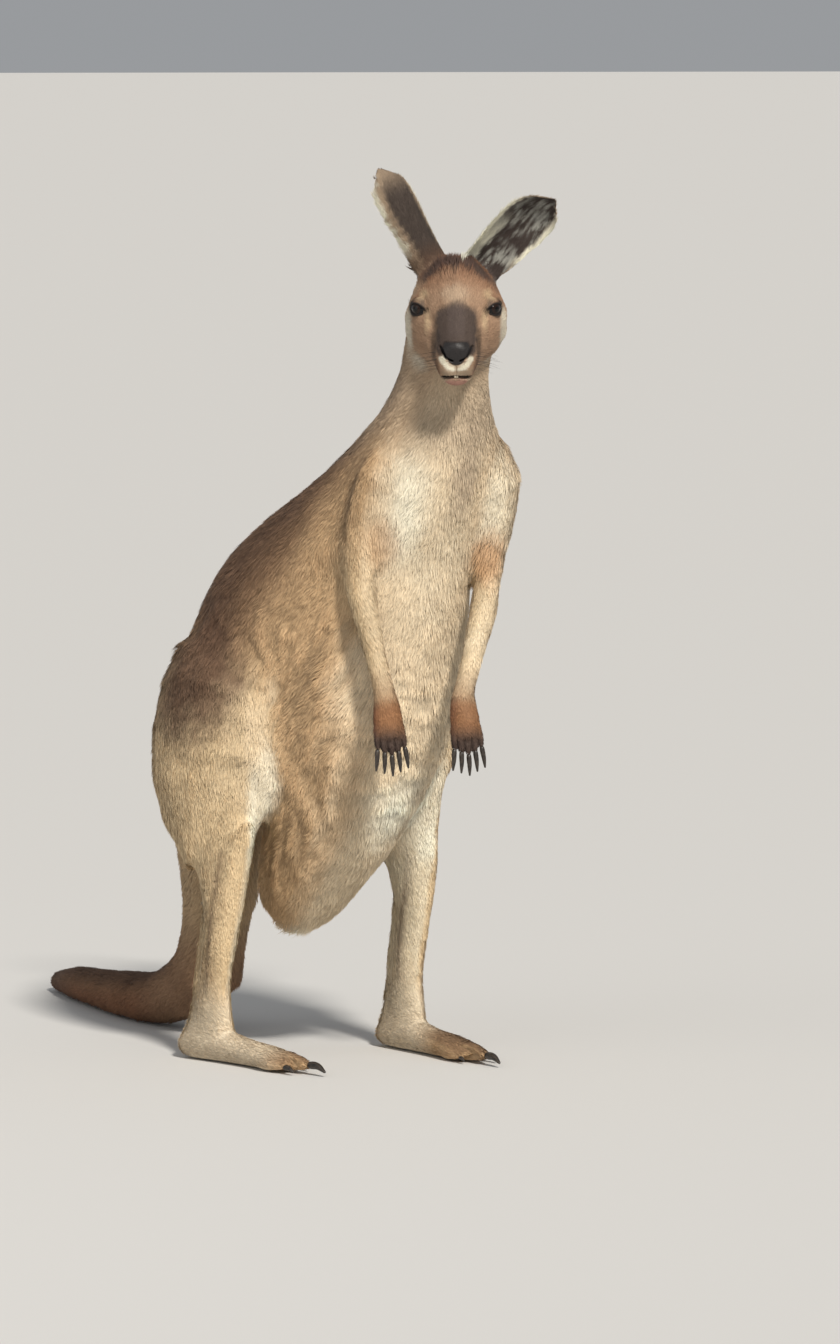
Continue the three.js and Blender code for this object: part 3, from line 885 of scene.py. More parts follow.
knuckles = within("right_hand", 0, 0, 0.42)[2]
paint(CHARCOAL, 0.9 * hands * below(knuckles, 30))
# Painted shade of the groove down the back of each shank, between the tendon and the bone.
for side, sign in SIDES.items():
    groove = [within(side + "_shank", 0, back, up)[1:] for back, up in TENDON_GROOVE]
    off_groove = distance_to_path(points[:, 1:], groove)[0]
    this_shank = shanks * (points[:, 0] * sign > 0)
    for colour, strength, width in TENDON_GROOVE_PAINTED_SHADE:
        paint(colour, strength * this_shank * (1 - smooth_step(off_groove / width)))
instep = within("left_foot", 0, 0.6, 0)[1]
toes = smooth_step((instep - points[:, 1]) / (60 * MM))
paint(WHITE, 0.45 * feet * (1 - toes))
paint(GREY_BROWN, 0.75 * feet * toes * facing((0, 0, 1), 0.2, 0.8))
paint(UMBER, 0.55 * feet * smooth_step((instep - CLAWS_AHEAD - points[:, 1]) / (50 * MM)))
tail_ground = within("tail_middle", 0, 0.35, 0)[1]
paint(GREY_BROWN, 0.50 * tails)
paint(RUST, 0.75 * tails * smooth_step((points[:, 1] - tail_ground) / (110 * MM)))
paint(GREY_BROWN, 0.85 * tails * facing(BACK, 0.0, 0.7))
paint(UMBER, 0.85 * tails * facing((0, 0.45, 0.9), 0.3, 0.9))
paint(CHARCOAL, 0.55 * tails * smooth_step((points[:, 1] - within("tail_tip", 0, 0.2, 0)[1]) / (180 * MM)))
print("body painted")


# %% [markdown]
# The marks of the face come next, in the head's own directions and in millimetres. A dark blaze runs down
# the muzzle to the nose, and a dark arch runs over the crown from ear to ear. The eyes are ringed with
# black between pale brows and ashy cheeks. The lips are white under the nostrils, and the chin is darkened
# by a painted shadow under the jaw. The ears are dark cups with pale fringes.

# %% Paint the face
LIP_WHITE = [(16.0, -16.5), (10.5, -22.5), (4.0, -26.0)]
BLAZE_HALF = 26
BLAZE_LIGHT = (0.10, 0.076, 0.068)
SIDE_MARKS = {  # colour, strength, centre and reach in mm, and softness, for a mark on each side
    "corner of the crown": (UMBER, 0.95, (36, -30, 58), (22, 40, 20), 0.5),
    "brow": (BUFF, 0.55, (42, 12, 31), (22, 18, 8), 0.9),
    "below the eye": (TAN, 0.45, (38, 34, -10), (13, 26, 26), 0.8),
    "cheek": (ASH, 0.85, (57, 8, -18), (10, 26, 48), 0.6),
    "jaw": (ASH, 0.75, (46, 26, -50), (20, 30, 15), 0.7),
    # The black lines down the sides of the muzzle are painted shade, where its front turns to its sides.
    "side of the muzzle": (BLACK, 0.65, (26, 68, -10), (4.5, 34, 30), 0.7),
    "beside the blaze": (BUFF, 0.50, (32, 40, 2), (6, 18, 24), 0.8),
    "side of the lip": (UMBER, 0.85, (23, 90, -30), (7, 22, 15), 0.6),
    "round the eye": (BLACK, 0.92, (53, 11, 15), (17, 23, 11), 0.5),
    "before the eye": (CHARCOAL, 0.85, (30, 30, 11), (9, 9, 6), 0.6),
}

on_head_only = spread(on_face.astype(float), edges, 6)
face = in_head(points)
left_mm, ahead_mm, up_mm = (face / MM).T


def mark(left, ahead, up, wide, long, tall, soft=0.7):
    """A patch on the head, by its centre and its reach in millimetres."""
    away = (face / MM - np.array([left, ahead, up])) / np.array([wide, long, tall])
    ragged = np.linalg.norm(away, axis=1) + 0.10 * noise(points, 5 * MM, 8)
    return smooth_step((1 - ragged) / soft) * on_head_only


def slope(value, over):
    """Nothing below zero, one past this many millimetres."""
    return smooth_step(value / over)


ragged_mm = 2.5 * noise(points, 5 * MM, 9)
paint(DOVE, 0.20 * on_head_only)
arch_up = 62 - 0.0125 * left_mm ** 2
paint(RUST, 0.50 * on_head_only * slope(up_mm - arch_up + 24 + ragged_mm, 20))
paint(AUBURN, 0.95 * on_head_only * slope(up_mm - arch_up + 9 + ragged_mm, 8))
paint(DOVE, 0.55 * mark(0, 36, 40, 26, 26, 18))
blaze = slope(BLAZE_HALF - np.abs(left_mm) + ragged_mm * 0.6, 5) * slope(ahead_mm - 38 + ragged_mm, 12)
blaze *= slope(up_mm + 16, 7) * on_head_only
paint(CHARCOAL, 0.90 * blaze)
paint(BLAZE_LIGHT, 0.40 * blaze * slope(13 - np.abs(left_mm), 6) * slope(up_mm - 2, 10))
for sign in SIDES.values():
    for colour, strength, (left, ahead, up), reach, soft in SIDE_MARKS.values():
        paint(colour, strength * mark(sign * left, ahead, up, *reach, soft))
arch_gap = np.abs(up_mm - arch_up + 2) + ragged_mm
paint(CHARCOAL, 0.75 * slope(5.5 - arch_gap, 4) * slope(ahead_mm + 40, 10) * on_head_only)
lip_gap, lip_along = distance_to_path(np.stack([np.abs(left_mm), up_mm], axis=1), LIP_WHITE)
lip_white = slope(5.4 - 1.0 * lip_along - lip_gap + 0.4 * ragged_mm, 3.4) * slope(ahead_mm - 84, 6)
paint(DOVE, 0.8 * mark(0, 100, -30, 22, 16, 13, 0.5))
paint(WHITE, 0.80 * lip_white * on_head_only)
# Painted shadow under the jaw: the chin and throat are darkened as if the muzzle shaded them.
paint(UMBER, 0.85 * mark(0, 84, -60, 28, 24, 13, 0.5))
paint(BLACK, 0.95 * nose_pad(face))
paint(BLACK, nostrils(face))
slit, open_here = mouth(face)
paint(BLACK, 0.95 * slit)
paint(FLESH, 0.70 * mark(0, 97, -47, 18, 16, 6.5, 0.4))
lid_rim = smooth_step((1.42 - lid_ring) / 0.30) * on_head_only
paint(BLACK, 0.95 * lid_rim)
print("face painted with", 2 * len(SIDE_MARKS), "marks beside the blaze")


# %% Paint the ears
EAR_OPENS = {"left": (0.2, 1.0, 0.0), "right": (-0.62, -0.8, 0.0)}  # in the head's directions
EAR_STEPS = 14


def ear_axes(side):
    """Along an ear, and across it, for an ear that is seen from its open side."""
    stem = unit(middle(side + "_ear") - head_centre)
    opens = np.array(EAR_OPENS[side]) @ head_axes
    opens = unit(opens - stem * (opens @ stem))
    return stem, opens, np.cross(stem, opens)


ear_rim, inner_edge, ear_inside, ear_tip = np.zeros((4, len(points)))
for side in SIDES:
    mine = np.isin(node_at, numbers_of(side + "_ear"))
    stem, opens, breadth = ear_axes(side)
    along = (points - middle(side + "_ear")) @ stem
    sideways = (points - middle(side + "_ear")) @ breadth
    steps = np.linspace(along[mine].min(), along[mine].max() + MM, EAR_STEPS)
    step_at = np.clip(np.digitize(along, steps) - 1, 0, len(steps) - 2)
    for step in range(len(steps) - 1):
        ring = mine & (step_at == step)
        if ring.any():
            centre = (sideways[ring].min() + sideways[ring].max()) / 2
            half = (sideways[ring].max() - sideways[ring].min()) / 2
            ear_rim[ring] = np.abs(sideways[ring] - centre) / half
            inner_edge[ring] = (centre - sideways[ring]) / half
    ear_inside[mine] = smooth_step((skin_normals[mine] @ opens + 0.15) / 0.3)
    tip = rising(along, steps[-5], steps[-1]) * mine
    ear_tip += tip
    outer = mine * (1 - ear_inside)
    paint(DOVE, 0.75 * outer)
    paint(CHARCOAL, 0.92 * outer * smooth_step((0.80 - ear_rim) / 0.25) * (1 - 0.85 * tip))
    paint(UMBER, 0.70 * outer * (1 - rising(along, steps[1], steps[4])))
    streaks = noise(np.stack([along / 6, sideways, sideways * 0], axis=1), 1.6 * MM, 22)
    streaks += 0.8 * noise(points, 15 * MM, 23)
    paint(CHARCOAL, 0.95 * mine * ear_inside)
    paint(SILVER, 0.55 * mine * ear_inside * smooth_step((streaks + 0.2) / 1.2))
    fringe = smooth_step((ear_rim - 0.80 + 0.05 * noise(points, 6 * MM, 24)) / 0.12)
    fringe *= rising(along, steps[2], steps[4])
    paint(TAN, 0.7 * mine * fringe)
    paint(WHITE, 0.95 * mine * fringe * (1 - 0.75 * tip))
    if side == "left":
        base_fringe = rising(along, steps[9], steps[4])
        paint(WHITE, 0.95 * mine * base_fringe * smooth_step((inner_edge - 0.30 + 0.1 * streaks) / 0.2))
print("ears painted over", int(ear_inside.astype(bool).sum()), "points inside their cups")

# %% [markdown]
# Shade gathers in creases, and no coat has one even tone. Where the neighbours of a point lie above it,
# along its normal, it is in a hollow, and painted shade darkens it. Soft noise mottles the rest.

# %% Paint shade into the creases and mottle the whole
HOLLOW_PAINTED_SHADE = 0.45

starts, others = np.concatenate([edges, edges[:, ::-1]]).T
outgoing = points[others] - points[starts]
lean = np.sum(outgoing * skin_normals[starts], axis=1) / np.linalg.norm(outgoing, axis=1)
hollow = spread(np.bincount(starts, lean) / np.bincount(starts), edges, 3)
# Painted shade: the points in hollows are darkened.
painting *= (1 - HOLLOW_PAINTED_SHADE * smooth_step(hollow / 0.30))[:, None]
painting *= (1 + 0.08 * noise(points, 40 * MM, 31) + 0.05 * noise(points, 12 * MM, 32))[:, None]
painting = np.clip(painting, 0.004, 0.95)
print("painting finished, mean colour", painting.mean(axis=0).round(3))


# %% [markdown]
# ## Materials for skin and locks
#
# The painting is stored on each mesh as a colour attribute, and the material reads it from there. So is
# the grain: a place that is squeezed along the lie of the hair. Noise on it comes out as fine streaks of
# light and dark, and it drives a bump too, so short fur reads as fur even where no lock stands up. Three
# helpers make what every material here needs: a texture, a ramp of colours and a bump.

# %% Store values on a mesh, and make the fur materials
def store_colour(piece, colours):
    layer = piece.data.color_attributes.new("coat_colour", "FLOAT_COLOR", "POINT")
    filled = np.ones((len(colours), 4), np.float32)
    filled[:, :3] = colours
    layer.data.foreach_set("color", filled.reshape(-1))


def store_vector(piece, name, vectors):
    layer = piece.data.attributes.new(name, "FLOAT_VECTOR", "POINT")
    layer.data.foreach_set("vector", np.ascontiguousarray(vectors, np.float32).reshape(-1))


def new_material(name, roughness, specular=0.4, sheen=0.0):
    material = bpy.data.materials.new(name)
    material.use_nodes = True
    shader = material.node_tree.nodes["Principled BSDF"]
    shader.inputs["Roughness"].default_value = roughness
    shader.inputs["Specular IOR Level"].default_value = specular
    shader.inputs["Sheen Weight"].default_value = sheen
    return material, shader


def add_node(material, kind, **settings):
    node = material.node_tree.nodes.new(kind)
    for name, value in settings.items():
        setattr(node, name, value)
    return node


def object_place(material):
    """The place of a point in its object, for a texture to lie on."""
    return add_node(material, "ShaderNodeTexCoord").outputs["Object"]


def texture(material, kind, size, place):
    """A texture with cells of about this size, which lies on a place."""
    node = add_node(material, kind)
    node.inputs["Scale"].default_value = 1 / size
    material.node_tree.links.new(place, node.inputs["Vector"])
    return node


def colour_by(material, shader, value, stops):
    """Colours a material by a value, through stops that give a colour to a place on the ramp."""
    ramp = add_node(material, "ShaderNodeValToRGB")
    elements = ramp.color_ramp.elements
    for element, (position, colour) in zip(elements, (stops[0], stops[-1])):
        element.position = position
        element.color = (*colour, 1)
    for position, colour in stops[1:-1]:
        elements.new(position).color = (*colour, 1)
    material.node_tree.links.new(value, ramp.inputs["Fac"])
    material.node_tree.links.new(ramp.outputs["Color"], shader.inputs["Base Color"])


def bump_by(material, shader, height, strength, distance, invert=False):
    """Raises the surface in the light by a height, which is an output of a texture."""
    bump = add_node(material, "ShaderNodeBump", invert=invert)
    bump.inputs["Strength"].default_value = strength
    bump.inputs["Distance"].default_value = distance
    material.node_tree.links.new(height, bump.inputs["Height"])
    material.node_tree.links.new(bump.outputs["Normal"], shader.inputs["Normal"])


def fur_material(name, streak_size, streak_depth, bump_height):
    """Fur: the stored colour, broken up by streaks along the lie of the hair."""
    material, shader = new_material(name, roughness=0.78, specular=0.20, sheen=0.03)
    link = material.node_tree.links.new
    colour = add_node(material, "ShaderNodeAttribute", attribute_name="coat_colour")
    grained = add_node(material, "ShaderNodeAttribute", attribute_name="grain")
    streaks = texture(material, "ShaderNodeTexNoise", streak_size, grained.outputs["Vector"])
    streaks.inputs["Detail"].default_value = 3.0
    shade = add_node(material, "ShaderNodeMapRange")
    shade.inputs["From Min"].default_value = 0.3
    shade.inputs["From Max"].default_value = 0.7
    shade.inputs["To Min"].default_value = 1 - streak_depth
    shade.inputs["To Max"].default_value = 1 + streak_depth * 0.6
    link(streaks.outputs["Fac"], shade.inputs["Value"])
    tinted = add_node(material, "ShaderNodeVectorMath", operation="SCALE")
    link(colour.outputs["Color"], tinted.inputs[0])
    link(shade.outputs["Result"], tinted.inputs["Scale"])
    link(tinted.outputs["Vector"], shader.inputs["Base Color"])
    bump_by(material, shader, streaks.outputs["Fac"], 0.6, bump_height)
    return material


skin_fur = fur_material("short fur", 1.1 * MM, 0.36, 0.7 * MM)
lock_fur = fur_material("locks", 0.5 * MM, 0.20, 0.12 * MM)
print("fur materials made")


# %% [markdown]
# The nose pad is bare, black and finely grained like wet leather. Its faces get a material of their own.

# %% The leather of the nose
nose_leather, shader = new_material("nose leather", roughness=0.48, specular=0.35)
pebbles = texture(nose_leather, "ShaderNodeTexVoronoi", 1.1 * MM, object_place(nose_leather))
pebble_stops = [(0.0, (0.026, 0.022, 0.021)), (1.0, (0.007, 0.006, 0.006))]
colour_by(nose_leather, shader, pebbles.outputs["Distance"], pebble_stops)
bump_by(nose_leather, shader, pebbles.outputs["Distance"], 0.5, 0.25 * MM, invert=True)
print("leather made for the nose")

# %% Finish the skin
store_colour(skin, painting)
store_vector(skin, "grain", grain)
skin.data.materials.clear()
skin.data.materials.append(skin_fur)
skin.data.materials.append(nose_leather)
leather_faces = nose_pad(in_head(face_middles(skin))) > 0.5
skin.data.polygons.foreach_set("material_index", leather_faces.astype(np.int32))
only(skin)
bpy.ops.object.shade_smooth()
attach(skin, "root")
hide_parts(*flesh_nodes)
print("skin finished,", triangles(skin), "triangles, nose pad", int(leather_faces.sum()), "faces")


# %% [markdown]
# ## The coat
#
# Particle hair would be lost when the model leaves Blender, so the coat is a solid mesh. A lock is a thin
# flat blade of three triangles: wide at its root, bent back along the body and pointed at its tip. Roots
# are scattered over the skin, closer together where locks are small. Every lock follows the lie of the
# coat at its root, with a sway and a lift that it shares with its neighbours, so that they clump.

# %% Where hair grows
SOLE_BARE = 4 * MM

skin.data.calc_loop_triangles()
corners = read_values(skin.data.loop_triangles, "vertices", kind=np.int64)
ends = points[corners]
areas = np.linalg.norm(np.cross(ends[:, 1] - ends[:, 0], ends[:, 2] - ends[:, 0]), axis=1) / 2
corner_node = node_at[corners[:, 0]]
corner_front = skin_normals[corners].mean(axis=1) @ unit(np.array(FRONT))

crown = slope(up_mm - 44, 14) * slope(ahead_mm + 60, 20) * on_head_only
pouch = patch(within("trunk", *POUCH), (60, 75, 34), 0.8)
elbow = patch(within("left_upper_arm", *ELBOW), (36, 46, 54), 0.8)
ear_fringe = smooth_step((ear_rim - 0.80) / 0.15)
for zone, longer, steeper in ((crown, 9, 12), (pouch, 16, 8), (elbow, 9, 9), (ear_fringe, 3, 7)):
    coat[:, 1] += longer * zone
    coat[:, 3] += steeper * zone
coat[:, 1] *= 1 - 0.45 * ear_tip
print("longer hair on the crown, pouch, elbow and ear rims")

hairy = (1 - nose_pad(face)) * (1 - nostrils(face)) * (1 - slit)
hairy *= smooth_step((lid_ring - 1.3) / 0.5)
hairy *= smooth_step((points[:, 2] - SOLE_BARE) / SOLE_BARE)
print("skin area", round(float(areas.sum()), 3), "square metres")


# %% Scatter roots and build locks
PATCH = 0.003  # the side of one lock's place on the bake map
MARGIN = 0.03  # round each sheet of the bake map
BLADE_FULLNESS = 0.6
BEND_SHARE = 0.55  # how far along a lock it bends
BEND_RISE = 0.72
BEND_WIDTH = 0.8
ROOT_DEPTH = 0.4 * MM
ROOT_SHADE = 0.88
CREASE_SHADE = 0.26
TIP_SHADE = 1.06


def scatter(wanted, draw):
    """Picks triangles in proportion to how many locks each wants, and a random place in each."""
    running = np.cumsum(wanted)
    count = int(running[-1])
    spots = (np.arange(count) + draw.uniform(0, 1, count)) * running[-1] / count
    chosen = np.minimum(np.searchsorted(running, spots), len(wanted) - 1)
    one, two = np.sqrt(draw.uniform(0, 1, count)), draw.uniform(0, 1, count)
    return chosen, np.stack([1 - one, one * (1 - two), one * two], axis=1)


def unwrap_roots(roots, outward):
    """Lays the roots out flat, one sheet for each of six directions that the skin faces."""
    low, size = roots.min(axis=0), np.ptp(roots, axis=0).max() + PATCH
    flat = (roots - low) / size
    axis = np.argmax(np.abs(outward), axis=1)
    rows = np.arange(len(roots))
    first = flat[rows, (axis + 1) % 3]
    second = flat[rows, (axis + 2) % 3]
    sheet = axis * 2 + (outward[rows, axis] > 0)
    u = ((sheet % 3) + MARGIN + (1 - 2 * MARGIN) * first) / 3
    v = ((sheet // 3) + MARGIN + (1 - 2 * MARGIN) * second) / 2
    return np.stack([u, v], axis=1)


def build_mesh(name, places, faces, colours, grains, flat_places, material):
    """Makes one piece out of many little ones, with its colours, its grain and its bake map."""
    mesh = bpy.data.meshes.new(name)
    mesh.vertices.add(len(places))
    mesh.vertices.foreach_set("co", places.astype(np.float32).reshape(-1))
    mesh.loops.add(faces.size)
    mesh.loops.foreach_set("vertex_index", faces.astype(np.int32).reshape(-1))
    mesh.polygons.add(len(faces))
    mesh.polygons.foreach_set("loop_start", np.arange(0, faces.size, 3, dtype=np.int32))
    mesh.update(calc_edges=True)
    mesh.polygons.foreach_set("use_smooth", np.ones(len(faces), bool))
    bake = mesh.uv_layers.new(name="OFBake")
    bake.data.foreach_set("uv", flat_places[faces.reshape(-1)].astype(np.float32).reshape(-1))
    piece = bpy.data.objects.new(name, mesh)
    scene.collection.objects.link(piece)
    mesh.materials.append(material)
    store_colour(piece, colours)
    store_vector(piece, "grain", grains)
    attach(piece, "root")
    return piece


def grow(name, mine, coverage, seed, sway_deg=16):
    """Grows the locks of one part of the coat. The coverage says how many times they overlap."""
    draw = np.random.default_rng(seed)
    here = corners[mine]
    size = coat[here].mean(axis=1)
    lock_area = size[:, 1] * size[:, 2] * MM * MM * BLADE_FULLNESS
    chosen, shares = scatter(areas[mine] * coverage * hairy[here].mean(axis=1) / lock_area, draw)
    here = here[chosen]
    count = len(here)

    def at_root(values):
        return np.einsum("ij,ijk->ik", shares, values[here])

    root = at_root(points)
    outward = unit(at_root(skin_normals))
    size = at_root(coat)
    colour = at_root(painting)
    along = at_root(lie)
    along = unit(along - outward * np.sum(along * outward, axis=1, keepdims=True))

    clump = noise(root, 9 * MM, seed + 1)
    sway = noise(root, 34 * MM, seed + 2) * sway_deg + clump * 13 + draw.normal(0, 7, count)
    sway = np.radians(sway)[:, None]
    across = np.cross(outward, along)
    along = along * np.cos(sway) + across * np.sin(sway)
    roll = np.radians(draw.normal(0, 9, count))[:, None]
    across = np.cross(outward, along) * np.cos(roll) + outward * np.sin(roll)

    belly_here, flank_here = at_root(np.stack([belly, flank], axis=1)).T
    crease = belly_here * level_folds(root) + flank_here * slanting_folds(root)
    length = (size[:, 1] * MM * draw.uniform(0.7, 1.2, count) * (1 + 0.2 * clump))[:, None]
    half = (size[:, 2] * MM * draw.uniform(0.35, 0.65, count))[:, None]
    tip_lift = noise(root, 14 * MM, seed + 3) * 0.35 + draw.uniform(0.55, 1.15, count) + 0.5 * crease
    lift = np.radians(size[:, 3] * np.clip(tip_lift, 0.25, 1.25))[:, None]
    rise = length * np.sin(lift)
    run = length * np.cos(lift)
    base = root - outward * ROOT_DEPTH
    bend = root + along * run * BEND_SHARE + outward * rise * BEND_RISE
    tip = root + along * run + outward * rise
    parts = [base - across * half, base + across * half]
    parts += [bend - across * half * BEND_WIDTH, bend + across * half * BEND_WIDTH, tip]
    places = np.stack(parts, axis=1).reshape(-1, 3)
    blade = np.array([[0, 2, 1], [1, 2, 3], [2, 4, 3]])
    faces = (np.arange(count)[:, None, None] * 5 + blade).reshape(-1, 3)

    # Painted shade of the folds: locks on their ridges are lighter, and those in their troughs darker.
    tone = (1 + draw.normal(0, 0.08, count) + 0.05 * clump + CREASE_SHADE * crease)[:, None, None]
    shades = np.array([ROOT_SHADE, ROOT_SHADE, 1.0, 1.0, TIP_SHADE])[None, :, None]
    colours = np.clip(colour[:, None, :] * tone * shades, 0.003, 0.97).reshape(-1, 3)
    own = draw.uniform(0, 1, (count, 1, 1))
    strand = np.zeros((count, 5, 3))
    strand[:, :, 0] = half * np.array([[-1, 1, -BEND_WIDTH, BEND_WIDTH, 0]])
    strand[:, :, 1] = length * np.array([[0, 0, BEND_SHARE, BEND_SHARE, 1]]) / GRAIN_STRETCH
    strand[:, :, 2:] = own
    patch_shape = np.array([[0, 0], [1, 0], [0.1, 0.6], [0.9, 0.6], [0.5, 1]]) * PATCH
    flat = (unwrap_roots(root, outward)[:, None, :] + patch_shape).reshape(-1, 2)
    build_mesh(name, places, faces, colours, strand.reshape(-1, 3), flat, lock_fur)
    print(name, count, "locks,", len(faces), "triangles")


def on_parts(*names):
    """Which triangles of the skin lie on these parts."""
    return np.isin(corner_node, numbers_of(*names))


# %% Grow the coat
is_trunk = on_parts("trunk")
is_left = points[corners[:, 0], 0] > middle("trunk")[0]
is_high = points[corners[:, 0], 2] > middle("trunk")[2]
is_front = corner_front > 0.1
grow("coat_chest", is_trunk & is_front & is_high, 4.2, 100, 14)
grow("coat_belly", is_trunk & is_front & ~is_high, 4.2, 105, 18)
grow("coat_trunk_left", is_trunk & ~is_front & is_left, 4.2, 110, 24)
grow("coat_trunk_right", is_trunk & ~is_front & ~is_left, 4.2, 115, 24)
grow("coat_neck", on_parts("neck"), 4.2, 120)
grow("coat_head", on_parts("head", "lower_jaw", "eye"), 2.4, 130, 8)
grow("coat_ears", on_parts("ear"), 1.7, 140, 8)
grow("coat_arms", on_parts("upper_arm", "forearm"), 3.6, 150)
grow("coat_hands", on_parts("hand"), 2.2, 160, 8)
for side in SIDES:
    grow("coat_" + side + "_thigh", on_parts(side + "_thigh"), 4.2, 170 + len(side), 20)
grow("coat_shanks", on_parts("shank"), 3.2, 190, 10)
grow("coat_feet", on_parts("foot"), 1.6, 200, 8)
grow("coat_tail", on_parts("tail_base", "tail_middle", "tail_tip"), 2.5, 210, 14)


# %% [markdown]
# Whiskers and lashes are single stiff hairs, far thicker than fur. Each is a thin three-sided spine that
# tapers to a point and bends a little on its way.

# %% Whiskers and lashes
HAIR_RINGS = 4
HAIR_SIDES = 3
WHISKER_RADIUS = 0.22 * MM
LASH_RADIUS = 0.20 * MM
LASHES = 17
LASH_SPREAD = 1.15
bristle, shader = new_material("bristle", roughness=0.4, specular=0.4)
shader.inputs["Base Color"].default_value = (0.012, 0.010, 0.009, 1)


def bristles(name, roots, ways, bends, lengths, radius):
    """Stiff hairs from these roots: each sets out one way and bends towards another."""
    ways, bends = unit(np.array(ways)), np.array(bends)
    roots, lengths = np.array(roots), np.array(lengths)[:, None]
    across = unit(np.cross(ways, bends + np.array([0.01, 0.02, 0.03])))
    third = np.cross(ways, across)
    rings = []
    for ring in range(HAIR_RINGS):
        share = ring / HAIR_RINGS
        centre = roots + ways * lengths * share + bends * lengths * share * share
        for corner in range(HAIR_SIDES):
            turn = corner * 2 * math.pi / HAIR_SIDES
            spoke = across * math.cos(turn) + third * math.sin(turn)
            rings.append(centre + spoke * radius * (1 - 0.8 * share))
    rings.append(roots + ways * lengths + bends * lengths)
    places = np.stack(rings, axis=1)
    faces = []
    for ring in range(HAIR_RINGS - 1):
        for corner in range(HAIR_SIDES):
            one = ring * HAIR_SIDES + corner
            other = ring * HAIR_SIDES + (corner + 1) % HAIR_SIDES
            faces += [[one, other, other + HAIR_SIDES], [one, other + HAIR_SIDES, one + HAIR_SIDES]]
    last, tip = (HAIR_RINGS - 1) * HAIR_SIDES, HAIR_RINGS * HAIR_SIDES
    faces += [[last + corner, last + (corner + 1) % HAIR_SIDES, tip] for corner in range(HAIR_SIDES)]
    faces += [[2, 1, 0]]
    count, size = len(roots), tip + 1
    all_faces = (np.arange(count)[:, None, None] * size + np.array(faces)).reshape(-1, 3)
    flat = np.repeat(unwrap_roots(roots, ways), size, axis=0)
    flat += np.tile(np.stack([np.arange(size) % 3, np.arange(size) // 3], axis=1) * PATCH / 4, (count, 1))
    dull = np.zeros((count * size, 3))
    piece = build_mesh(name, places.reshape(-1, 3), all_faces, dull, dull, flat, bristle)
    print(name, count, "hairs,", triangles(piece), "triangles")


draw = np.random.default_rng(300)
for side, sign in SIDES.items():
    roots, ways, bends, lengths = [], [], [], []
    for ahead in (80, 86, 92):
        for up in (-14, -20, -26, -32):
            guess = np.array([sign * 24, ahead + draw.uniform(-2, 2), up + draw.uniform(-1.5, 1.5)])
            roots.append(points[np.argmin(np.linalg.norm(face - guess * MM, axis=1))])
            way = np.array([sign, -0.5 + 0.02 * (ahead - 80) + draw.uniform(-0.1, 0.1), -0.25])
            ways.append(way @ head_axes)
            bends.append(np.array([0, -0.25, -0.22 + draw.uniform(-0.08, 0.08)]) @ head_axes)
            lengths.append(draw.uniform(20, 38) * MM)
    bristles(side + "_whiskers", roots, ways, bends, lengths, WHISKER_RADIUS)
    looks, across, upward = eye_directions(side)
    roots, ways, bends, lengths = [], [], [], []
    for turn in np.linspace(-LASH_SPREAD, LASH_SPREAD, LASHES):
        wide, tall = LID_WIDE * 1.05 * math.sin(turn), LID_TALL * 1.05 * math.cos(turn)
        way = looks * math.cos(tall) * math.cos(wide) + across * math.sin(wide) + upward * math.sin(tall)
        way = unit(way)
        roots.append(middle(side + "_eye") + way @ head_axes * (EYE_RADIUS + 0.4 * MM))
        ways.append((way + 0.7 * across * math.sin(turn)) @ head_axes)
        bends.append((0.45 * upward - 0.1 * looks) @ head_axes)
        lengths.append(draw.uniform(5, 8) * MM)
    bristles(side + "_lashes", roots, ways, bends, lengths, LASH_RADIUS)


# %% [markdown]
# Two upper front teeth show in the open mouth. A tooth is a cube that is squeezed to size, bevelled and
# rounded by a Subdivision Surface, and its place is then applied to its mesh.

# %% Make the front teeth
TOOTH = (2.4 * MM, 2.0 * MM, 4.0 * MM)
TOOTH_PLACE = (1.3 * MM, 99.0 * MM, -38.4 * MM)
ivory, shader = new_material("ivory", roughness=0.3, specular=0.5)
stain = texture(ivory, "ShaderNodeTexNoise", 1.5 * MM, object_place(ivory))
colour_by(ivory, shader, stain.outputs["Fac"], [(0.0, (0.42, 0.34, 0.22)), (1.0, (0.72, 0.66, 0.52))])

teeth = []
for side, sign in SIDES.items():
    left, ahead, up = TOOTH_PLACE
    place = from_head(sign * left, ahead, up)
    tooth = added(bpy.ops.mesh.primitive_cube_add, side + "_tooth", size=1, location=place)
    tooth.scale = TOOTH
    tooth.rotation_euler = (-HEAD_DROOP, 0, math.atan2(head_left[1], head_left[0]))
    bpy.ops.object.transform_apply(location=True, rotation=True, scale=True)
    bpy.ops.object.mode_set(mode="EDIT")
    bpy.ops.mesh.select_all(action="SELECT")
    bpy.ops.mesh.bevel(offset=0.5 * MM, segments=2)
    bpy.ops.object.mode_set(mode="OBJECT")
    rounded = tooth.modifiers.new("rounded", "SUBSURF")
    rounded.levels = rounded.render_levels = 1
    apply_modifiers(tooth)
    bpy.ops.object.shade_smooth()
    teeth.append(tooth)
front_teeth = joined(teeth, "front_teeth")
front_teeth.data.materials.append(ivory)
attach(front_teeth, "root")
print("front teeth,", triangles(front_teeth), "triangles")


# %% [markdown]
# ## The eyes
#
# A kangaroo's eye is large, dark brown and moist, with a black pupil. Each is a globe with a slight bulge
# over the iris. A value from the pupil outwards is stored on its points, and the colour follows it. The
# gloss comes from a low roughness with a clear coat over it.

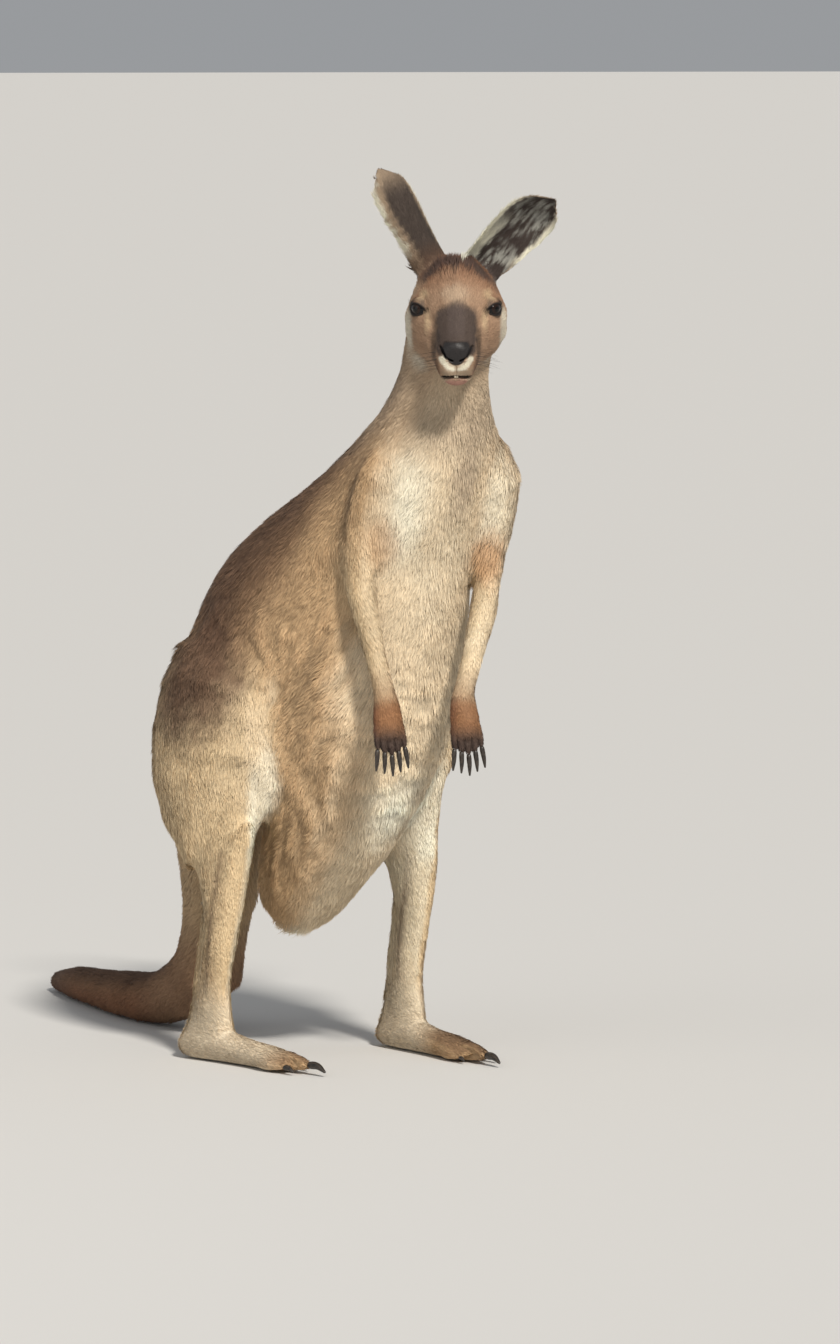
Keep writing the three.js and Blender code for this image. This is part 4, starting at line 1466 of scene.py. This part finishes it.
# %% Make the eyes
CORNEA = math.radians(34)
CORNEA_BULGE = 0.7 * MM
eye_wet, shader = new_material("wet eye", roughness=0.10, specular=0.22)
shader.inputs["Coat Weight"].default_value = 0.15
shader.inputs["Coat Roughness"].default_value = 0.03
ring_value = add_node(eye_wet, "ShaderNodeAttribute", attribute_name="ring")
eye_stops = [  # pupil, inner iris, outer iris and the rim of the globe
    (0.34, (0.002, 0.002, 0.002)),
    (0.42, (0.010, 0.005, 0.003)),
    (0.80, (0.018, 0.008, 0.005)),
    (0.96, (0.004, 0.003, 0.003)),
]
colour_by(eye_wet, shader, ring_value.outputs["Fac"], eye_stops)


def make_eye(side):
    """Makes one eyeball, with its bulge over the iris."""
    centre = middle(side + "_eye")
    looks = eye_directions(side)[0] @ head_axes
    size = {"segments": 48, "ring_count": 32, "radius": EYE_RADIUS}
    eye = added(bpy.ops.mesh.primitive_uv_sphere_add, side + "_eyeball", location=centre, **size)
    turn = Vector((0, 0, 1)).rotation_difference(Vector(looks)).to_matrix()
    local = coordinates(eye) @ np.array(turn).T
    angle = np.arccos(np.clip(local @ looks / EYE_RADIUS, -1, 1))
    bulge = CORNEA_BULGE * np.cos(np.minimum(angle / CORNEA, 1) * math.pi / 2) ** 1.5
    local += unit(local) * bulge[:, None]
    eye.location = (0, 0, 0)
    move_points(eye, local + centre)
    eye.data.attributes.new("ring", "FLOAT", "POINT").data.foreach_set("value", angle / CORNEA)
    eye.data.materials.append(eye_wet)
    bpy.ops.object.shade_smooth()
    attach(eye, "root")
    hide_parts(side + "_eye")
    print(eye.name, "made with", triangles(eye), "triangles")


for side in SIDES:
    make_eye(side)


# %% [markdown]
# ## The claws
#
# Claws are black horn with fine grooves that run to the point. The solids already have their length and
# their curve, so each is copied, merged and rounded by a Subdivision Surface. The claws of one foot or
# hand are joined into one piece.

# %% Make the claws
CLAW_SWELL = 0.7 * MM
GROOVE_SIZES = (1.5 * MM, 9 * MM, 4 * MM)

horn, shader = new_material("horn", roughness=0.34, specular=0.5)
mapping = add_node(horn, "ShaderNodeMapping")
mapping.inputs["Scale"].default_value = [1 / size for size in GROOVE_SIZES]
horn.node_tree.links.new(object_place(horn), mapping.inputs["Vector"])
grooves = texture(horn, "ShaderNodeTexNoise", 1.0, mapping.outputs["Vector"])
horn_stops = [(0.3, (0.008, 0.007, 0.006)), (0.75, (0.060, 0.045, 0.034))]
colour_by(horn, shader, grooves.outputs["Fac"], horn_stops)
bump_by(horn, shader, grooves.outputs["Fac"], 0.4, 0.3 * MM)


def make_claws(side, kind):
    """Makes the claws of one hand or foot."""
    nodes = claws_of(side, kind)
    parts = []
    for node in nodes:
        parts.append(merged_copy(node, "claw_" + node))
        bpy.ops.transform.shrink_fatten(value=CLAW_SWELL)
        bpy.ops.object.mode_set(mode="OBJECT")
    claws = joined(parts, side + "_" + kind + "_claws")
    rounded = claws.modifiers.new("rounded", "SUBSURF")
    rounded.levels = rounded.render_levels = 2
    apply_modifiers(claws)
    bpy.ops.object.shade_smooth()
    claws.data.materials.clear()
    claws.data.materials.append(horn)
    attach(claws, "root")
    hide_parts(*nodes)
    print(claws.name, "from", len(nodes), "solids,", triangles(claws), "triangles")


for side in SIDES:
    for kind in ("toe", "finger"):
        make_claws(side, kind)


# %% [markdown]
# ## The floor, the light and the camera
#
# A plain pale floor runs back under a pale sky. The key light is a large soft sun from the front right,
# as on a bright morning, and the sky fills the shadows. A long lens from far off keeps the animal's
# proportions true.

# %% Floor and world
FLOOR_SIZE = 900
FLOOR_COLOUR = (0.62, 0.61, 0.59)
SKY_COLOUR = (0.93, 0.96, 1.0)
SKY_STRENGTH = 0.34

floor = added(bpy.ops.mesh.primitive_plane_add, "floor", size=FLOOR_SIZE, location=(0, 0, 0))
paper, shader = new_material("floor paper", roughness=0.9, specular=0.2)
shader.inputs["Base Color"].default_value = (*FLOOR_COLOUR, 1)
floor.data.materials.append(paper)

sky = bpy.data.worlds.new("sky")
sky.use_nodes = True
sky.node_tree.nodes["Background"].inputs["Color"].default_value = (*SKY_COLOUR, 1)
sky.node_tree.nodes["Background"].inputs["Strength"].default_value = SKY_STRENGTH
scene.world = sky
scene.view_settings.view_transform = "Standard"
print("floor", FLOOR_SIZE, "metres wide, under a pale sky")

# %% Camera and key light
VIEW_AZIMUTH = math.radians(38)
CAMERA_BACK = 9.333
CAMERA_HEIGHT = 1.25
TARGET_LEFT = 0.126
TARGET_BEFORE_HEELS = 0.120
TARGET_HEIGHT = 0.48
LENS = 200
SENSOR = 36
SUN = {"energy": 3.7, "size": math.radians(7), "around": math.radians(20), "up": math.radians(41)}
SUN_COLOUR = (1.0, 0.955, 0.89)
FILL = {"energy": 14, "size": 2.5, "around": math.radians(-50), "up": math.radians(25), "away": 3.5}

heels = (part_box("left_foot")[1][1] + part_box("right_foot")[1][1]) / 2
target = Vector((TARGET_LEFT, heels - TARGET_BEFORE_HEELS, TARGET_HEIGHT))
looking = Vector((math.sin(VIEW_AZIMUTH), math.cos(VIEW_AZIMUTH), 0))
rightward = Vector((looking.y, -looking.x, 0))


def aim(piece, place, at):
    """Puts a lamp or the camera in its place and turns it to look at another."""
    piece.location = place
    piece.rotation_euler = (at - place).to_track_quat("-Z", "Y").to_euler()


lens = bpy.data.cameras.new("camera")
lens.lens = LENS
lens.sensor_width = SENSOR
camera = bpy.data.objects.new("camera", lens)
scene.collection.objects.link(camera)
place = target - looking * CAMERA_BACK
place.z = CAMERA_HEIGHT
aim(camera, place, target)
bpy.context.scene.camera = camera


def lamp(name, kind, energy, size, around, up, away=3.0):
    """A lamp that shines at the animal from a direction given from the camera's side."""
    light = bpy.data.lights.new(name, kind)
    light.energy = energy
    if kind == "SUN":
        light.angle = size
    else:
        light.size = size
    level = -looking * math.cos(around) + rightward * math.sin(around)
    carrier = bpy.data.objects.new(name, light)
    scene.collection.objects.link(carrier)
    aim(carrier, target + (level * math.cos(up) + Vector((0, 0, 1)) * math.sin(up)) * away, target)
    return carrier


sun = lamp("sun", "SUN", **SUN)
sun.data.color = SUN_COLOUR
lamp("fill", "AREA", **FILL)
print("camera at", [round(value, 3) for value in camera.location])
